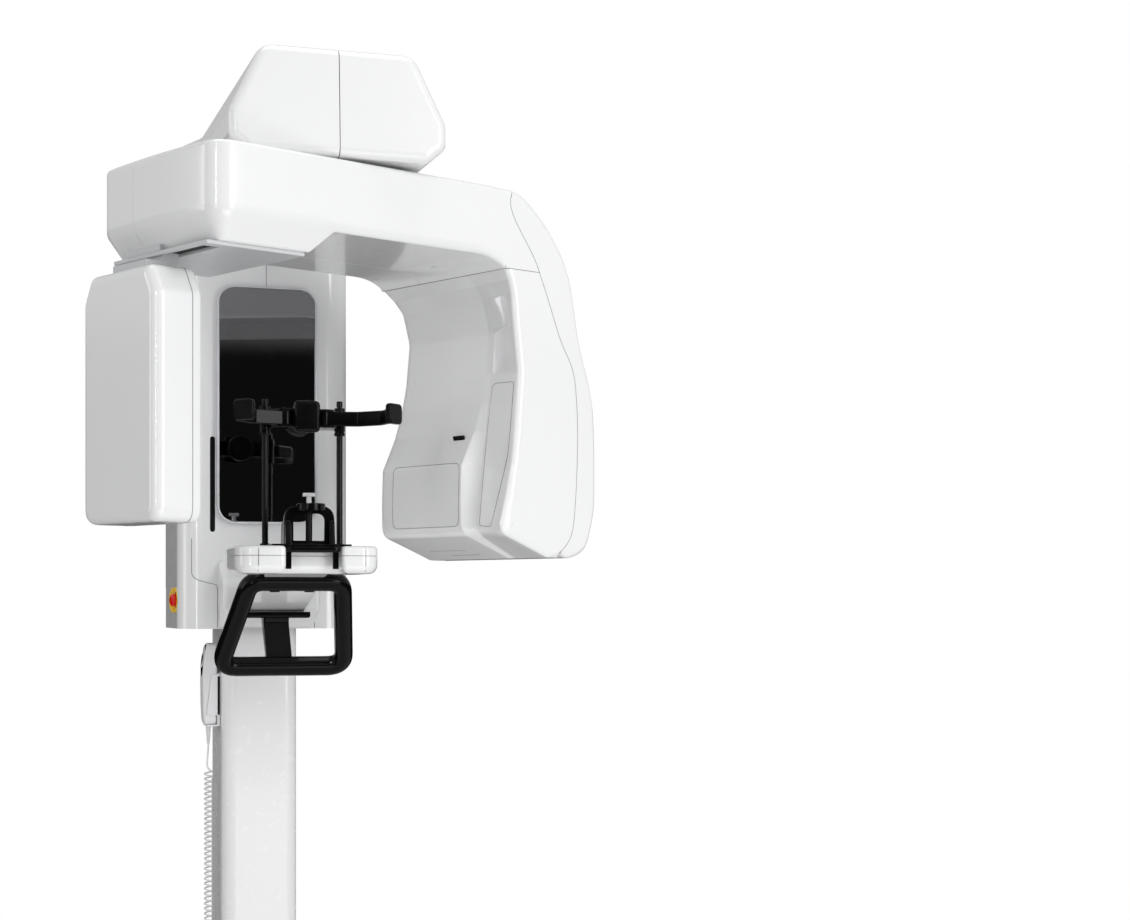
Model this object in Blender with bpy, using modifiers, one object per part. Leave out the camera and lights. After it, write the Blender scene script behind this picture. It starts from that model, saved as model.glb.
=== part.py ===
"""A panoramic x-ray machine. Metres, +Z up; the column stands at the origin and the patient side is -Y.

A carriage slides on the column and carries the top shelf, the mirror and the chin table. Under the
shelf a C-shaped arm turns about a vertical axis, with the x-ray tube head on one end and the sensor
head on the other.
"""

import math

import bmesh
import bpy
from mathutils import Matrix

# Clearances and walls
GAP = 0.0003
WALL = 0.004
HINGE_GAP = 0.006

# Column and base
COLUMN_WIDTH = 0.150
COLUMN_DEPTH = 0.158
COLUMN_TOP = 1.580
COLUMN_SHEET = 0.006
COLUMN_FRONT_RADIUS = 0.028
BASE_WIDTH = 0.700
BASE_FRONT = -0.770
BASE_BACK = 0.180
BASE_THICK = 0.015
DUCT_X = -0.062
DUCT_WIDTH = 0.024
DUCT_DEPTH = 0.0125
DUCT_TOP = 0.790

# Lift
RAM_RADIUS = 0.012

# Carriage
CARRIAGE_WIDTH = 0.336
CARRIAGE_BOTTOM = 1.100
CARRIAGE_HEIGHT = 0.771
CARRIAGE_FRONT = -0.141
CARRIAGE_BACK = 0.085
CARRIAGE_RADIUS = 0.050
REAR_COVER_WIDTH = 0.200
REAR_COVER_BACK = 0.128
STOP_HEIGHT = 0.056
STOP_Y = -0.073
STOP_RADIUS = 0.025
MIRROR_WIDTH = 0.196
MIRROR_LOW = 0.149
MIRROR_HIGH = 0.614
MIRROR_PROUD = 0.014
LIGHT_X = -0.105

# Shelf
SHELF_WIDTH = 0.360
SHELF_HEIGHT = 0.178
SHELF_OVERHANG = 0.186
SHELF_SEAT = 0.007

# Rotating arm, in its own frame: x from sensor to tube, y to the back, z down from its top
AXIS_REACH = 0.672
ARM_YAW = math.radians(24.0)
ARM_WIDTH = 0.362
ARM_END = -0.325
SIDE_LOW = -0.110
DEEP_LOW = -0.154
SHALLOW_LOW = -0.120
SPLIT_Y = 0.060
TRACK_SIDE = 0.145
TRACK_END = -0.127
HUB_RADIUS = 0.0615
PULLEY_RATIO = 3.0
MOTOR_OFFSET = 0.300

# Sensor head
SENSOR_LOW = -0.592
SENSOR_HIGH = -0.181
SENSOR_OUT = -0.354
SENSOR_IN = -0.267
SENSOR_FRONT = -0.060
SENSOR_BACK = 0.175

# Patient table, handle and head support, heights above the emergency stops
TABLE_WIDTH = 0.266
TABLE_BACK = -0.450
TABLE_FRONT = -0.641
TABLE_LOW = 0.046
TABLE_HIGH = 0.094
ROD_X = 0.067
ROD_Y = -0.525
ROD_RADIUS = 0.0055
ROD_HIGH = 0.349
BRIDGE_HEIGHT = 0.3215
HANDLE_RADIUS = 0.018

# Handset and its cord
HANDSET_X = -0.096
HANDSET_Y = -0.018
HANDSET_HIGH = 1.070
HANDSET_LENGTH = 0.162
CORD_RADIUS = 0.00175
COIL_RADIUS = 0.0088
COIL_HIGH = 0.812
COIL_LOW = 0.250

# Values worked out from the sizes above
LEVEL = CARRIAGE_BOTTOM + STOP_HEIGHT
CARRIAGE_TOP = CARRIAGE_BOTTOM + CARRIAGE_HEIGHT
CARRIAGE_SIDE = CARRIAGE_WIDTH / 2
SHELF_LOW = CARRIAGE_TOP + SHELF_SEAT
SHELF_TOP = SHELF_LOW + SHELF_HEIGHT
SHELF_FRONT = -AXIS_REACH - SHELF_OVERHANG
SHELF_SIDE = SHELF_WIDTH / 2
ARM_TOP = SHELF_LOW - HINGE_GAP
ARM_SIDE = ARM_WIDTH / 2
COLUMN_SIDE = COLUMN_WIDTH / 2
COLUMN_FACE = COLUMN_DEPTH / 2
FLOOR_TOP = SHELF_LOW + 0.006
BEAM_LOW = SHELF_LOW + 0.057
BEAM_HIGH = BEAM_LOW + 0.006
RAM_TOP = SHELF_LOW + 0.085

for old in list(bpy.data.objects):
    bpy.data.objects.remove(old, do_unlink=True)
parts = bpy.data.collections.new("panoramic_xray_machine")
cutters = bpy.data.collections.new("cutters")
bpy.context.scene.collection.children.link(parts)
bpy.context.scene.collection.children.link(cutters)

# Directions for a flat outline: it lies in XY, in YZ facing +X, or in XZ facing -Y
LYING = Matrix.Identity(4)
SIDEWAYS = Matrix(((0, 0, 1, 0), (1, 0, 0, 0), (0, 1, 0, 0), (0, 0, 0, 1)))
FACING = Matrix(((1, 0, 0, 0), (0, 0, -1, 0), (0, 1, 0, 0), (0, 0, 0, 1)))


def finish(name, colour, roughness, metallic=0.0):
    made = bpy.data.materials.new(name)
    made.use_nodes = True
    shader = made.node_tree.nodes["Principled BSDF"]
    shader.inputs["Base Color"].default_value = (*colour, 1.0)
    shader.inputs["Roughness"].default_value = roughness
    shader.inputs["Metallic"].default_value = metallic
    return made


WHITE = finish("white_paint", (0.86, 0.86, 0.87), 0.25)
GREY = finish("light_grey_paint", (0.62, 0.63, 0.65), 0.30)
BLACK = finish("gloss_black", (0.02, 0.02, 0.02), 0.20)
STEEL = finish("steel", (0.55, 0.56, 0.58), 0.35, 1.0)
ALLOY = finish("aluminium", (0.75, 0.76, 0.78), 0.35, 1.0)
RUBBER = finish("rubber", (0.03, 0.03, 0.03), 0.80)
MIRROR = finish("smoked_mirror", (0.03, 0.03, 0.035), 0.05, 1.0)
YELLOW = finish("yellow_plastic", (0.90, 0.70, 0.02), 0.35)
RED = finish("red_plastic", (0.80, 0.02, 0.01), 0.30)
CLEAR = finish("translucent_plastic", (0.85, 0.86, 0.86), 0.25)
CORD = finish("white_cord", (0.80, 0.80, 0.81), 0.50)


def joint_empty(name, place):
    """An empty on a joint's axis, to which the pieces of a moving body are parented."""
    made = bpy.data.objects.new(name, None)
    made.matrix_world = place
    parts.objects.link(made)
    return made


def add(name, mesh, material, body=None, place=LYING):
    """A piece in the parts collection; place is in the body's own frame where the body has one."""
    made = bpy.data.objects.new(name, mesh)
    parts.objects.link(made)
    made.matrix_basis = place
    made.parent = body
    if material is not None:
        mesh.materials.append(material)
    return made


def as_cutter(piece):
    """Moves a piece to the cutters, which are drawn as wires and left out of the machine."""
    parts.objects.unlink(piece)
    cutters.objects.link(piece)
    piece.hide_render = True
    piece.display_type = "WIRE"
    return piece


def combine(piece, operation, *others):
    """Cuts other shapes from a piece, or joins them to it."""
    for other in others:
        as_cutter(other)
        modifier = piece.modifiers.new(other.name, "BOOLEAN")
        modifier.operation = operation
        modifier.object = other
    return piece


def cut(piece, *others):
    return combine(piece, "DIFFERENCE", *others)


def join(piece, *others):
    return combine(piece, "UNION", *others)


def bevel(piece, width, segments=2):
    modifier = piece.modifiers.new("edges", "BEVEL")
    modifier.width = width
    modifier.segments = segments
    modifier.limit_method = "ANGLE"
    modifier.angle_limit = math.radians(35)
    return piece


def smooth(piece, angle=40.0):
    piece.data.shade_smooth()
    piece.data.set_sharp_from_angle(angle=math.radians(angle))
    return piece


def block(name, low, high, material, body=None):
    """A box between its lowest and highest corners."""
    made = bmesh.new()
    bmesh.ops.create_cube(made, size=1.0)
    size = [b - a for a, b in zip(low, high)]
    middle = [(a + b) / 2 for a, b in zip(low, high)]
    bmesh.ops.scale(made, vec=size, verts=made.verts)
    bmesh.ops.translate(made, vec=middle, verts=made.verts)
    mesh = bpy.data.meshes.new(name)
    made.to_mesh(mesh)
    made.free()
    return add(name, mesh, material, body)


def curve_mesh(name, curve):
    """The closed mesh of a curve object, with its loose caps welded on."""
    holder = bpy.data.objects.new(name, curve)
    bpy.context.scene.collection.objects.link(holder)
    graph = bpy.context.evaluated_depsgraph_get()
    mesh = bpy.data.meshes.new_from_object(holder.evaluated_get(graph))
    bpy.data.objects.remove(holder, do_unlink=True)
    made = bmesh.new()
    made.from_mesh(mesh)
    bmesh.ops.remove_doubles(made, verts=made.verts, dist=0.00002)
    bmesh.ops.recalc_face_normals(made, faces=made.faces)
    made.to_mesh(mesh)
    made.free()
    return mesh


def plate(name, outlines, low, high, material, body=None, way=LYING):
    """A flat outline, with any holes after it, drawn out from low to high along its own normal."""
    curve = bpy.data.curves.new(name, "CURVE")
    curve.dimensions = "2D"
    curve.fill_mode = "BOTH"
    curve.extrude = (high - low) / 2
    for outline in outlines:
        spline = curve.splines.new("POLY")
        spline.points.add(len(outline) - 1)
        for point, (x, y) in zip(spline.points, outline):
            point.co = (x, y, 0.0, 1.0)
        spline.use_cyclic_u = True
    mesh = curve_mesh(name, curve)
    mesh.transform(way @ Matrix.Translation((0.0, 0.0, (low + high) / 2)))
    return add(name, mesh, material, body)


def rail(name, route, radius, material, body=None, sides=2, closed=False):
    """A round bar along a route."""
    curve = bpy.data.curves.new(name, "CURVE")
    curve.dimensions = "3D"
    curve.bevel_depth = radius
    curve.bevel_resolution = sides
    curve.use_fill_caps = True
    spline = curve.splines.new("POLY")
    spline.points.add(len(route) - 1)
    for point, place in zip(spline.points, route):
        point.co = (*place, 1.0)
    spline.use_cyclic_u = closed
    return smooth(add(name, curve_mesh(name, curve), material, body))


def turned(name, profile, material, body=None, place=LYING, steps=24):
    """A profile of (radius, height) points, running down its outer side, turned about Z."""
    mesh = bpy.data.meshes.new(name)
    points = [(radius, 0.0, height) for radius, height in profile]
    edges = [(i, i + 1) for i in range(len(points) - 1)]
    if profile[0][0] > 0:
        edges.append((len(points) - 1, 0))
    mesh.from_pydata(points, edges, [])
    made = add(name, mesh, material, body, place)
    modifier = made.modifiers.new("turn", "SCREW")
    modifier.steps = steps
    modifier.render_steps = steps
    modifier.use_merge_vertices = True
    modifier.merge_threshold = 0.00005
    return made


def rod_profile(radius, low, high):
    """The profile of a plain round rod, or of the tool that bores its hole."""
    return [(0.0, high), (radius, high), (radius, low), (0.0, low)]


def loft(name, rings, material, body=None):
    """A closed skin over rings of equal point count, capped at both ends."""
    made = bmesh.new()
    rows = [[made.verts.new(point) for point in ring] for ring in rings]
    count = len(rows[0])
    for row, following in zip(rows, rows[1:]):
        for i in range(count):
            j = (i + 1) % count
            made.faces.new((row[i], row[j], following[j], following[i]))
    made.faces.new(rows[0][::-1])
    made.faces.new(rows[-1])
    bmesh.ops.recalc_face_normals(made, faces=made.faces)
    mesh = bpy.data.meshes.new(name)
    made.to_mesh(mesh)
    made.free()
    return add(name, mesh, material, body)


def arc(x, y, radius, start, end, steps):
    """Points on an arc about (x, y), with its angles in degrees."""
    turns = [math.radians(start + (end - start) * i / steps) for i in range(steps + 1)]
    return [(x + radius * math.cos(a), y + radius * math.sin(a)) for a in turns]


def rounded(low, high, radii, steps=4):
    """A rectangle with its own radius at each corner: low left, low right, high right, high left."""
    corners = (
        (low[0], low[1], 1, 1, 180),
        (high[0], low[1], -1, 1, 270),
        (high[0], high[1], -1, -1, 0),
        (low[0], high[1], 1, -1, 90),
    )
    outline = []
    for (x, y, right, up, start), radius in zip(corners, radii):
        outline += arc(x + right * radius, y + up * radius, radius, start, start + 90, steps)
    return outline


def inset(ring, distance):
    """A closed outline moved towards its own inside, each corner along its bisector."""
    area = sum(a[0] * b[1] - b[0] * a[1] for a, b in zip(ring, ring[1:] + ring[:1]))
    inward = math.copysign(distance, area)
    moved = []
    for before, here, after in zip(ring[-1:] + ring[:-1], ring, ring[1:] + ring[:1]):
        first = math.atan2(here[1] - before[1], here[0] - before[0])
        second = math.atan2(after[1] - here[1], after[0] - here[0])
        half = (second - first + math.pi) % (2 * math.pi) / 2 - math.pi / 2
        reach = inward / max(math.cos(half), 0.5)
        normal = first + half + math.pi / 2
        moved.append((here[0] + reach * math.cos(normal), here[1] + reach * math.sin(normal)))
    return moved


def across(ring, y):
    """An outline of (x, z) points, stood up at one y."""
    return [(x, y, z) for x, z in ring]


# ------------------------------------------------------------------ column
def build_column():
    corner = min(0.060, BASE_WIDTH / 4)
    outline = rounded((-BASE_WIDTH / 2, BASE_FRONT), (BASE_WIDTH / 2, BASE_BACK), [corner] * 4, 6)
    bevel(plate("base_plate", [outline], 0.0, BASE_THICK, STEEL), 0.002, 1)

    radii = (COLUMN_FRONT_RADIUS, COLUMN_FRONT_RADIUS, 0.008, 0.008)
    outer = rounded((-COLUMN_SIDE, -COLUMN_FACE), (COLUMN_SIDE, COLUMN_FACE), radii, 5)
    inner = rounded(
        (-COLUMN_SIDE + COLUMN_SHEET, -COLUMN_FACE + COLUMN_SHEET),
        (COLUMN_SIDE - COLUMN_SHEET, COLUMN_FACE - COLUMN_SHEET),
        [radius - 0.005 for radius in radii],
        5,
    )
    column = plate("column_extrusion", [outer, inner], BASE_THICK + GAP, COLUMN_TOP, WHITE)
    smooth(column, 30)

    low = BASE_THICK + GAP
    bore = RAM_RADIUS + GAP
    turned(
        "lift_actuator",
        [
            (0.0, low + 0.110),
            (bore, low + 0.110),
            (bore, 1.100),
            (bore + 0.0065, 1.100),
            (bore + 0.0065, low + 0.145),
            (0.045, low + 0.125),
            (0.045, low),
            (0.0, low),
        ],
        STEEL,
    )

    half = DUCT_WIDTH / 2
    back = COLUMN_FACE + GAP
    channel = [
        (DUCT_X - half, back),
        (DUCT_X - half, back + DUCT_DEPTH),
        (DUCT_X + half, back + DUCT_DEPTH),
        (DUCT_X + half, back),
        (DUCT_X + half - 0.0015, back),
        (DUCT_X + half - 0.0015, back + DUCT_DEPTH - 0.0015),
        (DUCT_X - half + 0.0015, back + DUCT_DEPTH - 0.0015),
        (DUCT_X - half + 0.0015, back),
    ]
    plate("rear_cable_duct", [channel], BASE_THICK + GAP, DUCT_TOP, WHITE)


def build_handset():
    side = -COLUMN_SIDE - GAP
    back = HANDSET_X + 0.014
    width = 0.0225
    middle = HANDSET_HIGH - 0.090
    holder = plate(
        "handset_holder",
        [rounded((HANDSET_Y - 0.019, middle - 0.050), (HANDSET_Y + 0.019, middle + 0.030), [0.006] * 4)],
        back + GAP,
        side,
        GREY,
        way=SIDEWAYS,
    )
    bevel(holder, 0.001, 1)

    low = HANDSET_HIGH - HANDSET_LENGTH
    neck = HANDSET_HIGH - 0.068
    body = plate(
        "handset_body",
        [rounded((HANDSET_Y - width, low), (HANDSET_Y + width, neck), [0.012, 0.012, 0.002, 0.002])],
        HANDSET_X - 0.014,
        back,
        WHITE,
        way=SIDEWAYS,
    )
    bevel(body, 0.003)
    panel_low = (HANDSET_Y - width, neck + GAP)
    panel_high = (HANDSET_Y + width, HANDSET_HIGH)
    panel = plate(
        "handset_key_panel",
        [rounded(panel_low, panel_high, [0.002, 0.002, 0.016, 0.016])],
        HANDSET_X - 0.014,
        back,
        BLACK,
        way=SIDEWAYS,
    )
    bevel(panel, 0.003)
    key_height = HANDSET_HIGH - 0.032
    turn = Matrix.Translation((HANDSET_X - 0.014, HANDSET_Y, key_height))
    turn = turn @ Matrix.Rotation(-math.pi / 2, 4, "Y")
    well = turned(
        "exposure_button_well",
        [(0.0, 0.010), (0.0113, 0.010), (0.0113, -0.006), (0.0, -0.006)],
        None,
        place=turn,
    )
    cut(panel, well)
    button = joint_empty("exposure_button_axis", Matrix.Translation((HANDSET_X, HANDSET_Y, key_height)))
    turned(
        "exposure_button",
        [(0.0, 0.002), (0.010, 0.002), (0.011, 0.001), (0.011, -0.0035), (0.0, -0.0035)],
        BLACK,
        place=turn,
    )
    keep_place(bpy.data.objects["exposure_button"], button)

    relief = Matrix.Translation((HANDSET_X, HANDSET_Y, low - GAP))
    turned(
        "cord_strain_relief",
        [(0.0, 0.0), (0.0055, 0.0), (0.0055, -0.006), (0.0030, -0.040), (0.0, -0.040)],
        BLACK,
        place=relief,
        steps=16,
    )
    top = low - GAP - 0.040 - GAP
    bottom = COIL_HIGH + GAP
    steps = 9
    route = [(HANDSET_X, HANDSET_Y, top + (bottom - top) * i / steps) for i in range(steps + 1)]
    rail("handset_lead", route, CORD_RADIUS, CORD, sides=2)
    steps = 30
    route = [(HANDSET_X, HANDSET_Y, COIL_HIGH + (COIL_LOW - COIL_HIGH) * i / steps) for i in range(steps + 1)]
    rail("handset_curly_cord", route, COIL_RADIUS, CORD, sides=2)

    socket_top = COIL_LOW - GAP
    socket = block(
        "cord_socket",
        (HANDSET_X - 0.012, HANDSET_Y - 0.014, socket_top - 0.050),
        (side, HANDSET_Y + 0.014, socket_top),
        WHITE,
    )
    bevel(socket, 0.003)


def keep_place(piece, body):
    """Parents a piece to a body's empty without moving it."""
    piece.parent = body
    piece.matrix_parent_inverse = body.matrix_world.inverted()


# ------------------------------------------------------------------ carriage
def build_carriage_core():
    sheet = 0.006
    liner = 0.003
    inner_x = COLUMN_SIDE + GAP
    inner_y = COLUMN_FACE + GAP
    outer_x = inner_x + liner
    outer_y = inner_y + liner

    def wrap(x, y, thick, left_front, left_back):
        return [
            (left_front, -y),
            (left_front, -y - thick),
            (x + thick, -y - thick),
            (x + thick, y + thick),
            (left_back, y + thick),
            (left_back, y),
            (x, y),
            (x, -y),
        ]

    low = CARRIAGE_BOTTOM + 0.025
    plate("guide_liner", [wrap(inner_x, inner_y, liner, -0.045, -0.015)], low, low + 0.170, BLACK)
    frame_x = outer_x + GAP
    frame_y = outer_y + GAP
    frame = plate(
        "carriage_frame",
        [wrap(frame_x, frame_y, sheet, -0.060, -0.020)],
        CARRIAGE_BOTTOM + 0.020,
        RAM_TOP + 0.004,
        STEEL,
    )
    bridge = block(
        "frame_top",
        (-0.061, -frame_y - sheet - 0.001, RAM_TOP),
        (frame_x + sheet + 0.001, frame_y + sheet + 0.001, RAM_TOP + 0.008),
        None,
    )
    join(frame, bridge)
    side_stay = block(
        "frame_side_stay",
        (frame_x + 0.001, -0.040, CARRIAGE_BOTTOM + 0.200),
        (CARRIAGE_SIDE - WALL - GAP, 0.040, CARRIAGE_BOTTOM + 0.230),
        None,
    )
    join(frame, side_stay)

    bottom = RAM_TOP - 1.413
    turned(
        "lift_ram",
        [
            (0.0, RAM_TOP - GAP),
            (0.035, RAM_TOP - GAP),
            (0.035, RAM_TOP - 0.008),
            (RAM_RADIUS, RAM_TOP - 0.008),
            (RAM_RADIUS, bottom),
            (0.0, bottom),
        ],
        STEEL,
    )


def carriage_outline(shrink, back):
    side = CARRIAGE_SIDE - shrink
    front = CARRIAGE_FRONT + shrink
    radius = CARRIAGE_RADIUS - shrink
    return rounded((-side, front), (side, back), (radius, radius, 0.001, 0.001), 6)


def beak_profile():
    """The side outline of the lower front cover: (y, z) points."""
    face = CARRIAGE_FRONT - GAP
    return [
        (face, CARRIAGE_BOTTOM),
        (face, LEVEL + 0.082),
        (face - 0.058, LEVEL + 0.047),
        (face - 0.0705, LEVEL + 0.031),
        (face - 0.0705, LEVEL - 0.022),
    ]


def build_carriage_covers():
    outline = carriage_outline(0.0, CARRIAGE_BACK)
    cover = plate("carriage_front_cover", [outline], CARRIAGE_BOTTOM, CARRIAGE_TOP, WHITE)
    hollow = plate(
        "carriage_hollow",
        [carriage_outline(WALL, CARRIAGE_BACK + 0.05)],
        CARRIAGE_BOTTOM + WALL,
        CARRIAGE_TOP + 0.05,
        None,
    )
    mouth = block(
        "carriage_mouth",
        (-0.132, -COLUMN_FACE - 0.012, CARRIAGE_BOTTOM - 0.02),
        (COLUMN_SIDE + 0.012, CARRIAGE_BACK + 0.02, CARRIAGE_BOTTOM + 0.02),
        None,
    )
    slot = plate(
        "light_slot",
        [rounded((LIGHT_X - 0.005, LEVEL + 0.133), (LIGHT_X + 0.005, LEVEL + 0.319), [0.0045] * 4)],
        -CARRIAGE_FRONT - 0.020,
        -CARRIAGE_FRONT + 0.020,
        None,
        way=FACING,
    )
    cut(cover, hollow, mouth, slot)
    for side in (-1, 1):
        hole = turned(
            "stop_hole_left" if side < 0 else "stop_hole_right",
            [(0.0, 0.03), (STOP_RADIUS + GAP, 0.03), (STOP_RADIUS + GAP, -0.03), (0.0, -0.03)],
            None,
            place=stop_place(side),
        )
        cut(cover, hole)
    smooth(cover, 30)

    light = plate(
        "alignment_light",
        [rounded((LIGHT_X - 0.0047, LEVEL + 0.1333), (LIGHT_X + 0.0047, LEVEL + 0.3187), [0.0042] * 4)],
        -CARRIAGE_FRONT - 0.012,
        -CARRIAGE_FRONT - 0.0005,
        BLACK,
        way=FACING,
    )
    lamp = block(
        "alignment_lamp",
        (LIGHT_X - 0.009, CARRIAGE_FRONT + WALL + GAP, LEVEL + 0.125),
        (LIGHT_X + 0.009, CARRIAGE_FRONT + WALL + 0.014, LEVEL + 0.327),
        None,
    )
    join(light, lamp)

    half = REAR_COVER_WIDTH / 2
    low = LEVEL + 0.024
    front = CARRIAGE_BACK + GAP
    outline = rounded((-half, front), (half, REAR_COVER_BACK), (0.001, 0.001, 0.020, 0.020), 4)
    rear = plate("carriage_rear_cover", [outline], low, CARRIAGE_TOP, WHITE)
    inside_low = (-half + WALL, front - 0.02)
    inside_high = (half - WALL, REAR_COVER_BACK - WALL)
    inside = rounded(inside_low, inside_high, (0.001, 0.001, 0.016, 0.016), 4)
    cut(rear, plate("rear_hollow", [inside], low - 0.02, CARRIAGE_TOP + 0.02, None))
    flange = [
        (-CARRIAGE_SIDE, front),
        (-CARRIAGE_SIDE, front + WALL),
        (-half + 0.001, front + WALL),
        (-half + 0.001, front),
    ]
    mirrored = [(-x, y) for x, y in flange]
    join(rear, plate("rear_flange_left", [flange], low, CARRIAGE_TOP, None))
    join(rear, plate("rear_flange_right", [mirrored], low, CARRIAGE_TOP, None))
    smooth(rear, 30)

    beak = plate("carriage_lower_cover", [beak_profile()], -0.094, 0.094, WHITE, way=SIDEWAYS)
    bevel(beak, 0.008)
    smooth(beak, 30)

    front = -CARRIAGE_FRONT + GAP
    high = -CARRIAGE_FRONT + MIRROR_PROUD
    side = MIRROR_WIDTH / 2
    low_corner = (-side, LEVEL + MIRROR_LOW)
    high_corner = (side, LEVEL + MIRROR_HIGH)
    rim = 0.004
    outer = rounded(low_corner, high_corner, [0.035] * 4, 6)
    window_low = (low_corner[0] + rim, low_corner[1] + rim)
    window_high = (high_corner[0] - rim, high_corner[1] - rim)
    window = rounded(window_low, window_high, [0.031] * 4, 6)
    glass = rounded(
        (low_corner[0] + rim + GAP, low_corner[1] + rim + GAP),
        (high_corner[0] - rim - GAP, high_corner[1] - rim - GAP),
        [0.031 - GAP] * 4,
        6,
    )
    plate("mirror_bezel", [outer, window], front, high, GREY, way=FACING)
    plate("mirror_glass", [glass], front, high - 0.001, MIRROR, way=FACING)


def stop_place(side):
    """The frame of an emergency stop: its Z points out of the carriage's side."""
    turn = Matrix.Rotation(side * math.pi / 2, 4, "Y")
    return Matrix.Translation((side * CARRIAGE_SIDE, STOP_Y, LEVEL)) @ turn


def build_stops():
    for side, word in ((-1, "left"), (1, "right")):
        turned(
            "stop_collar_" + word,
            [
                (0.0066, -0.0145),
                (0.0140, -0.0140),
                (0.0235, -0.0005),
                (STOP_RADIUS, -0.0005),
                (STOP_RADIUS, -0.0180),
                (0.0110, -0.0200),
                (0.0110, -0.0330),
                (0.0066, -0.0330),
            ],
            YELLOW,
            place=stop_place(side),
        )
        axis = joint_empty("stop_axis_" + word, stop_place(side))
        button = turned(
            "stop_button_" + word,
            [
                (0.0, 0.0),
                (0.0095, -0.0008),
                (0.0126, -0.0030),
                (0.0126, -0.0090),
                (0.0063, -0.0098),
                (0.0063, -0.0300),
                (0.0, -0.0300),
            ],
            RED,
            place=stop_place(side),
        )
        keep_place(button, axis)


def build_rear_lead():
    low = LEVEL - 0.004
    back = CARRIAGE_BACK + GAP
    gland = block(
        "rear_connector",
        (DUCT_X - 0.010, back - 0.002, low),
        (DUCT_X + 0.010, REAR_COVER_BACK - WALL - GAP, LEVEL + 0.040),
        BLACK,
    )
    bevel(gland, 0.0015, 1)
    steps = 60
    bottom = 0.450
    y = COLUMN_FACE + GAP + 0.0062
    start = low - GAP
    route = [(DUCT_X, y, start + (bottom - start) * i / steps) for i in range(steps + 1)]
    rail("harness_cable", route, 0.0028, BLACK, sides=2)


# ------------------------------------------------------------------ shelf
def shelf_half(y, shrink, side, inner_x, low):
    """One ring of a shelf half: an outline of (x, z) at one y, from the middle out to the side."""
    back = min(1.0, max(0.0, (y + 0.210) / 0.210))
    top_x = SHELF_SIDE * (0.706 + 0.294 * back) - shrink
    outline = [
        (inner_x, low),
        (SHELF_SIDE * 0.828 - shrink, low),
        (SHELF_SIDE * 0.828 - shrink, SHELF_LOW + 0.002),
        (SHELF_SIDE - shrink, SHELF_LOW + 0.024 + shrink * 0.4),
        (SHELF_SIDE - shrink, SHELF_LOW + 0.064),
        (top_x, SHELF_TOP - 0.012 - shrink),
        (top_x - 0.012, SHELF_TOP - shrink),
        (inner_x, SHELF_TOP - shrink),
    ]
    return [(side * x, y, z) for x, z in outline]


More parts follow.
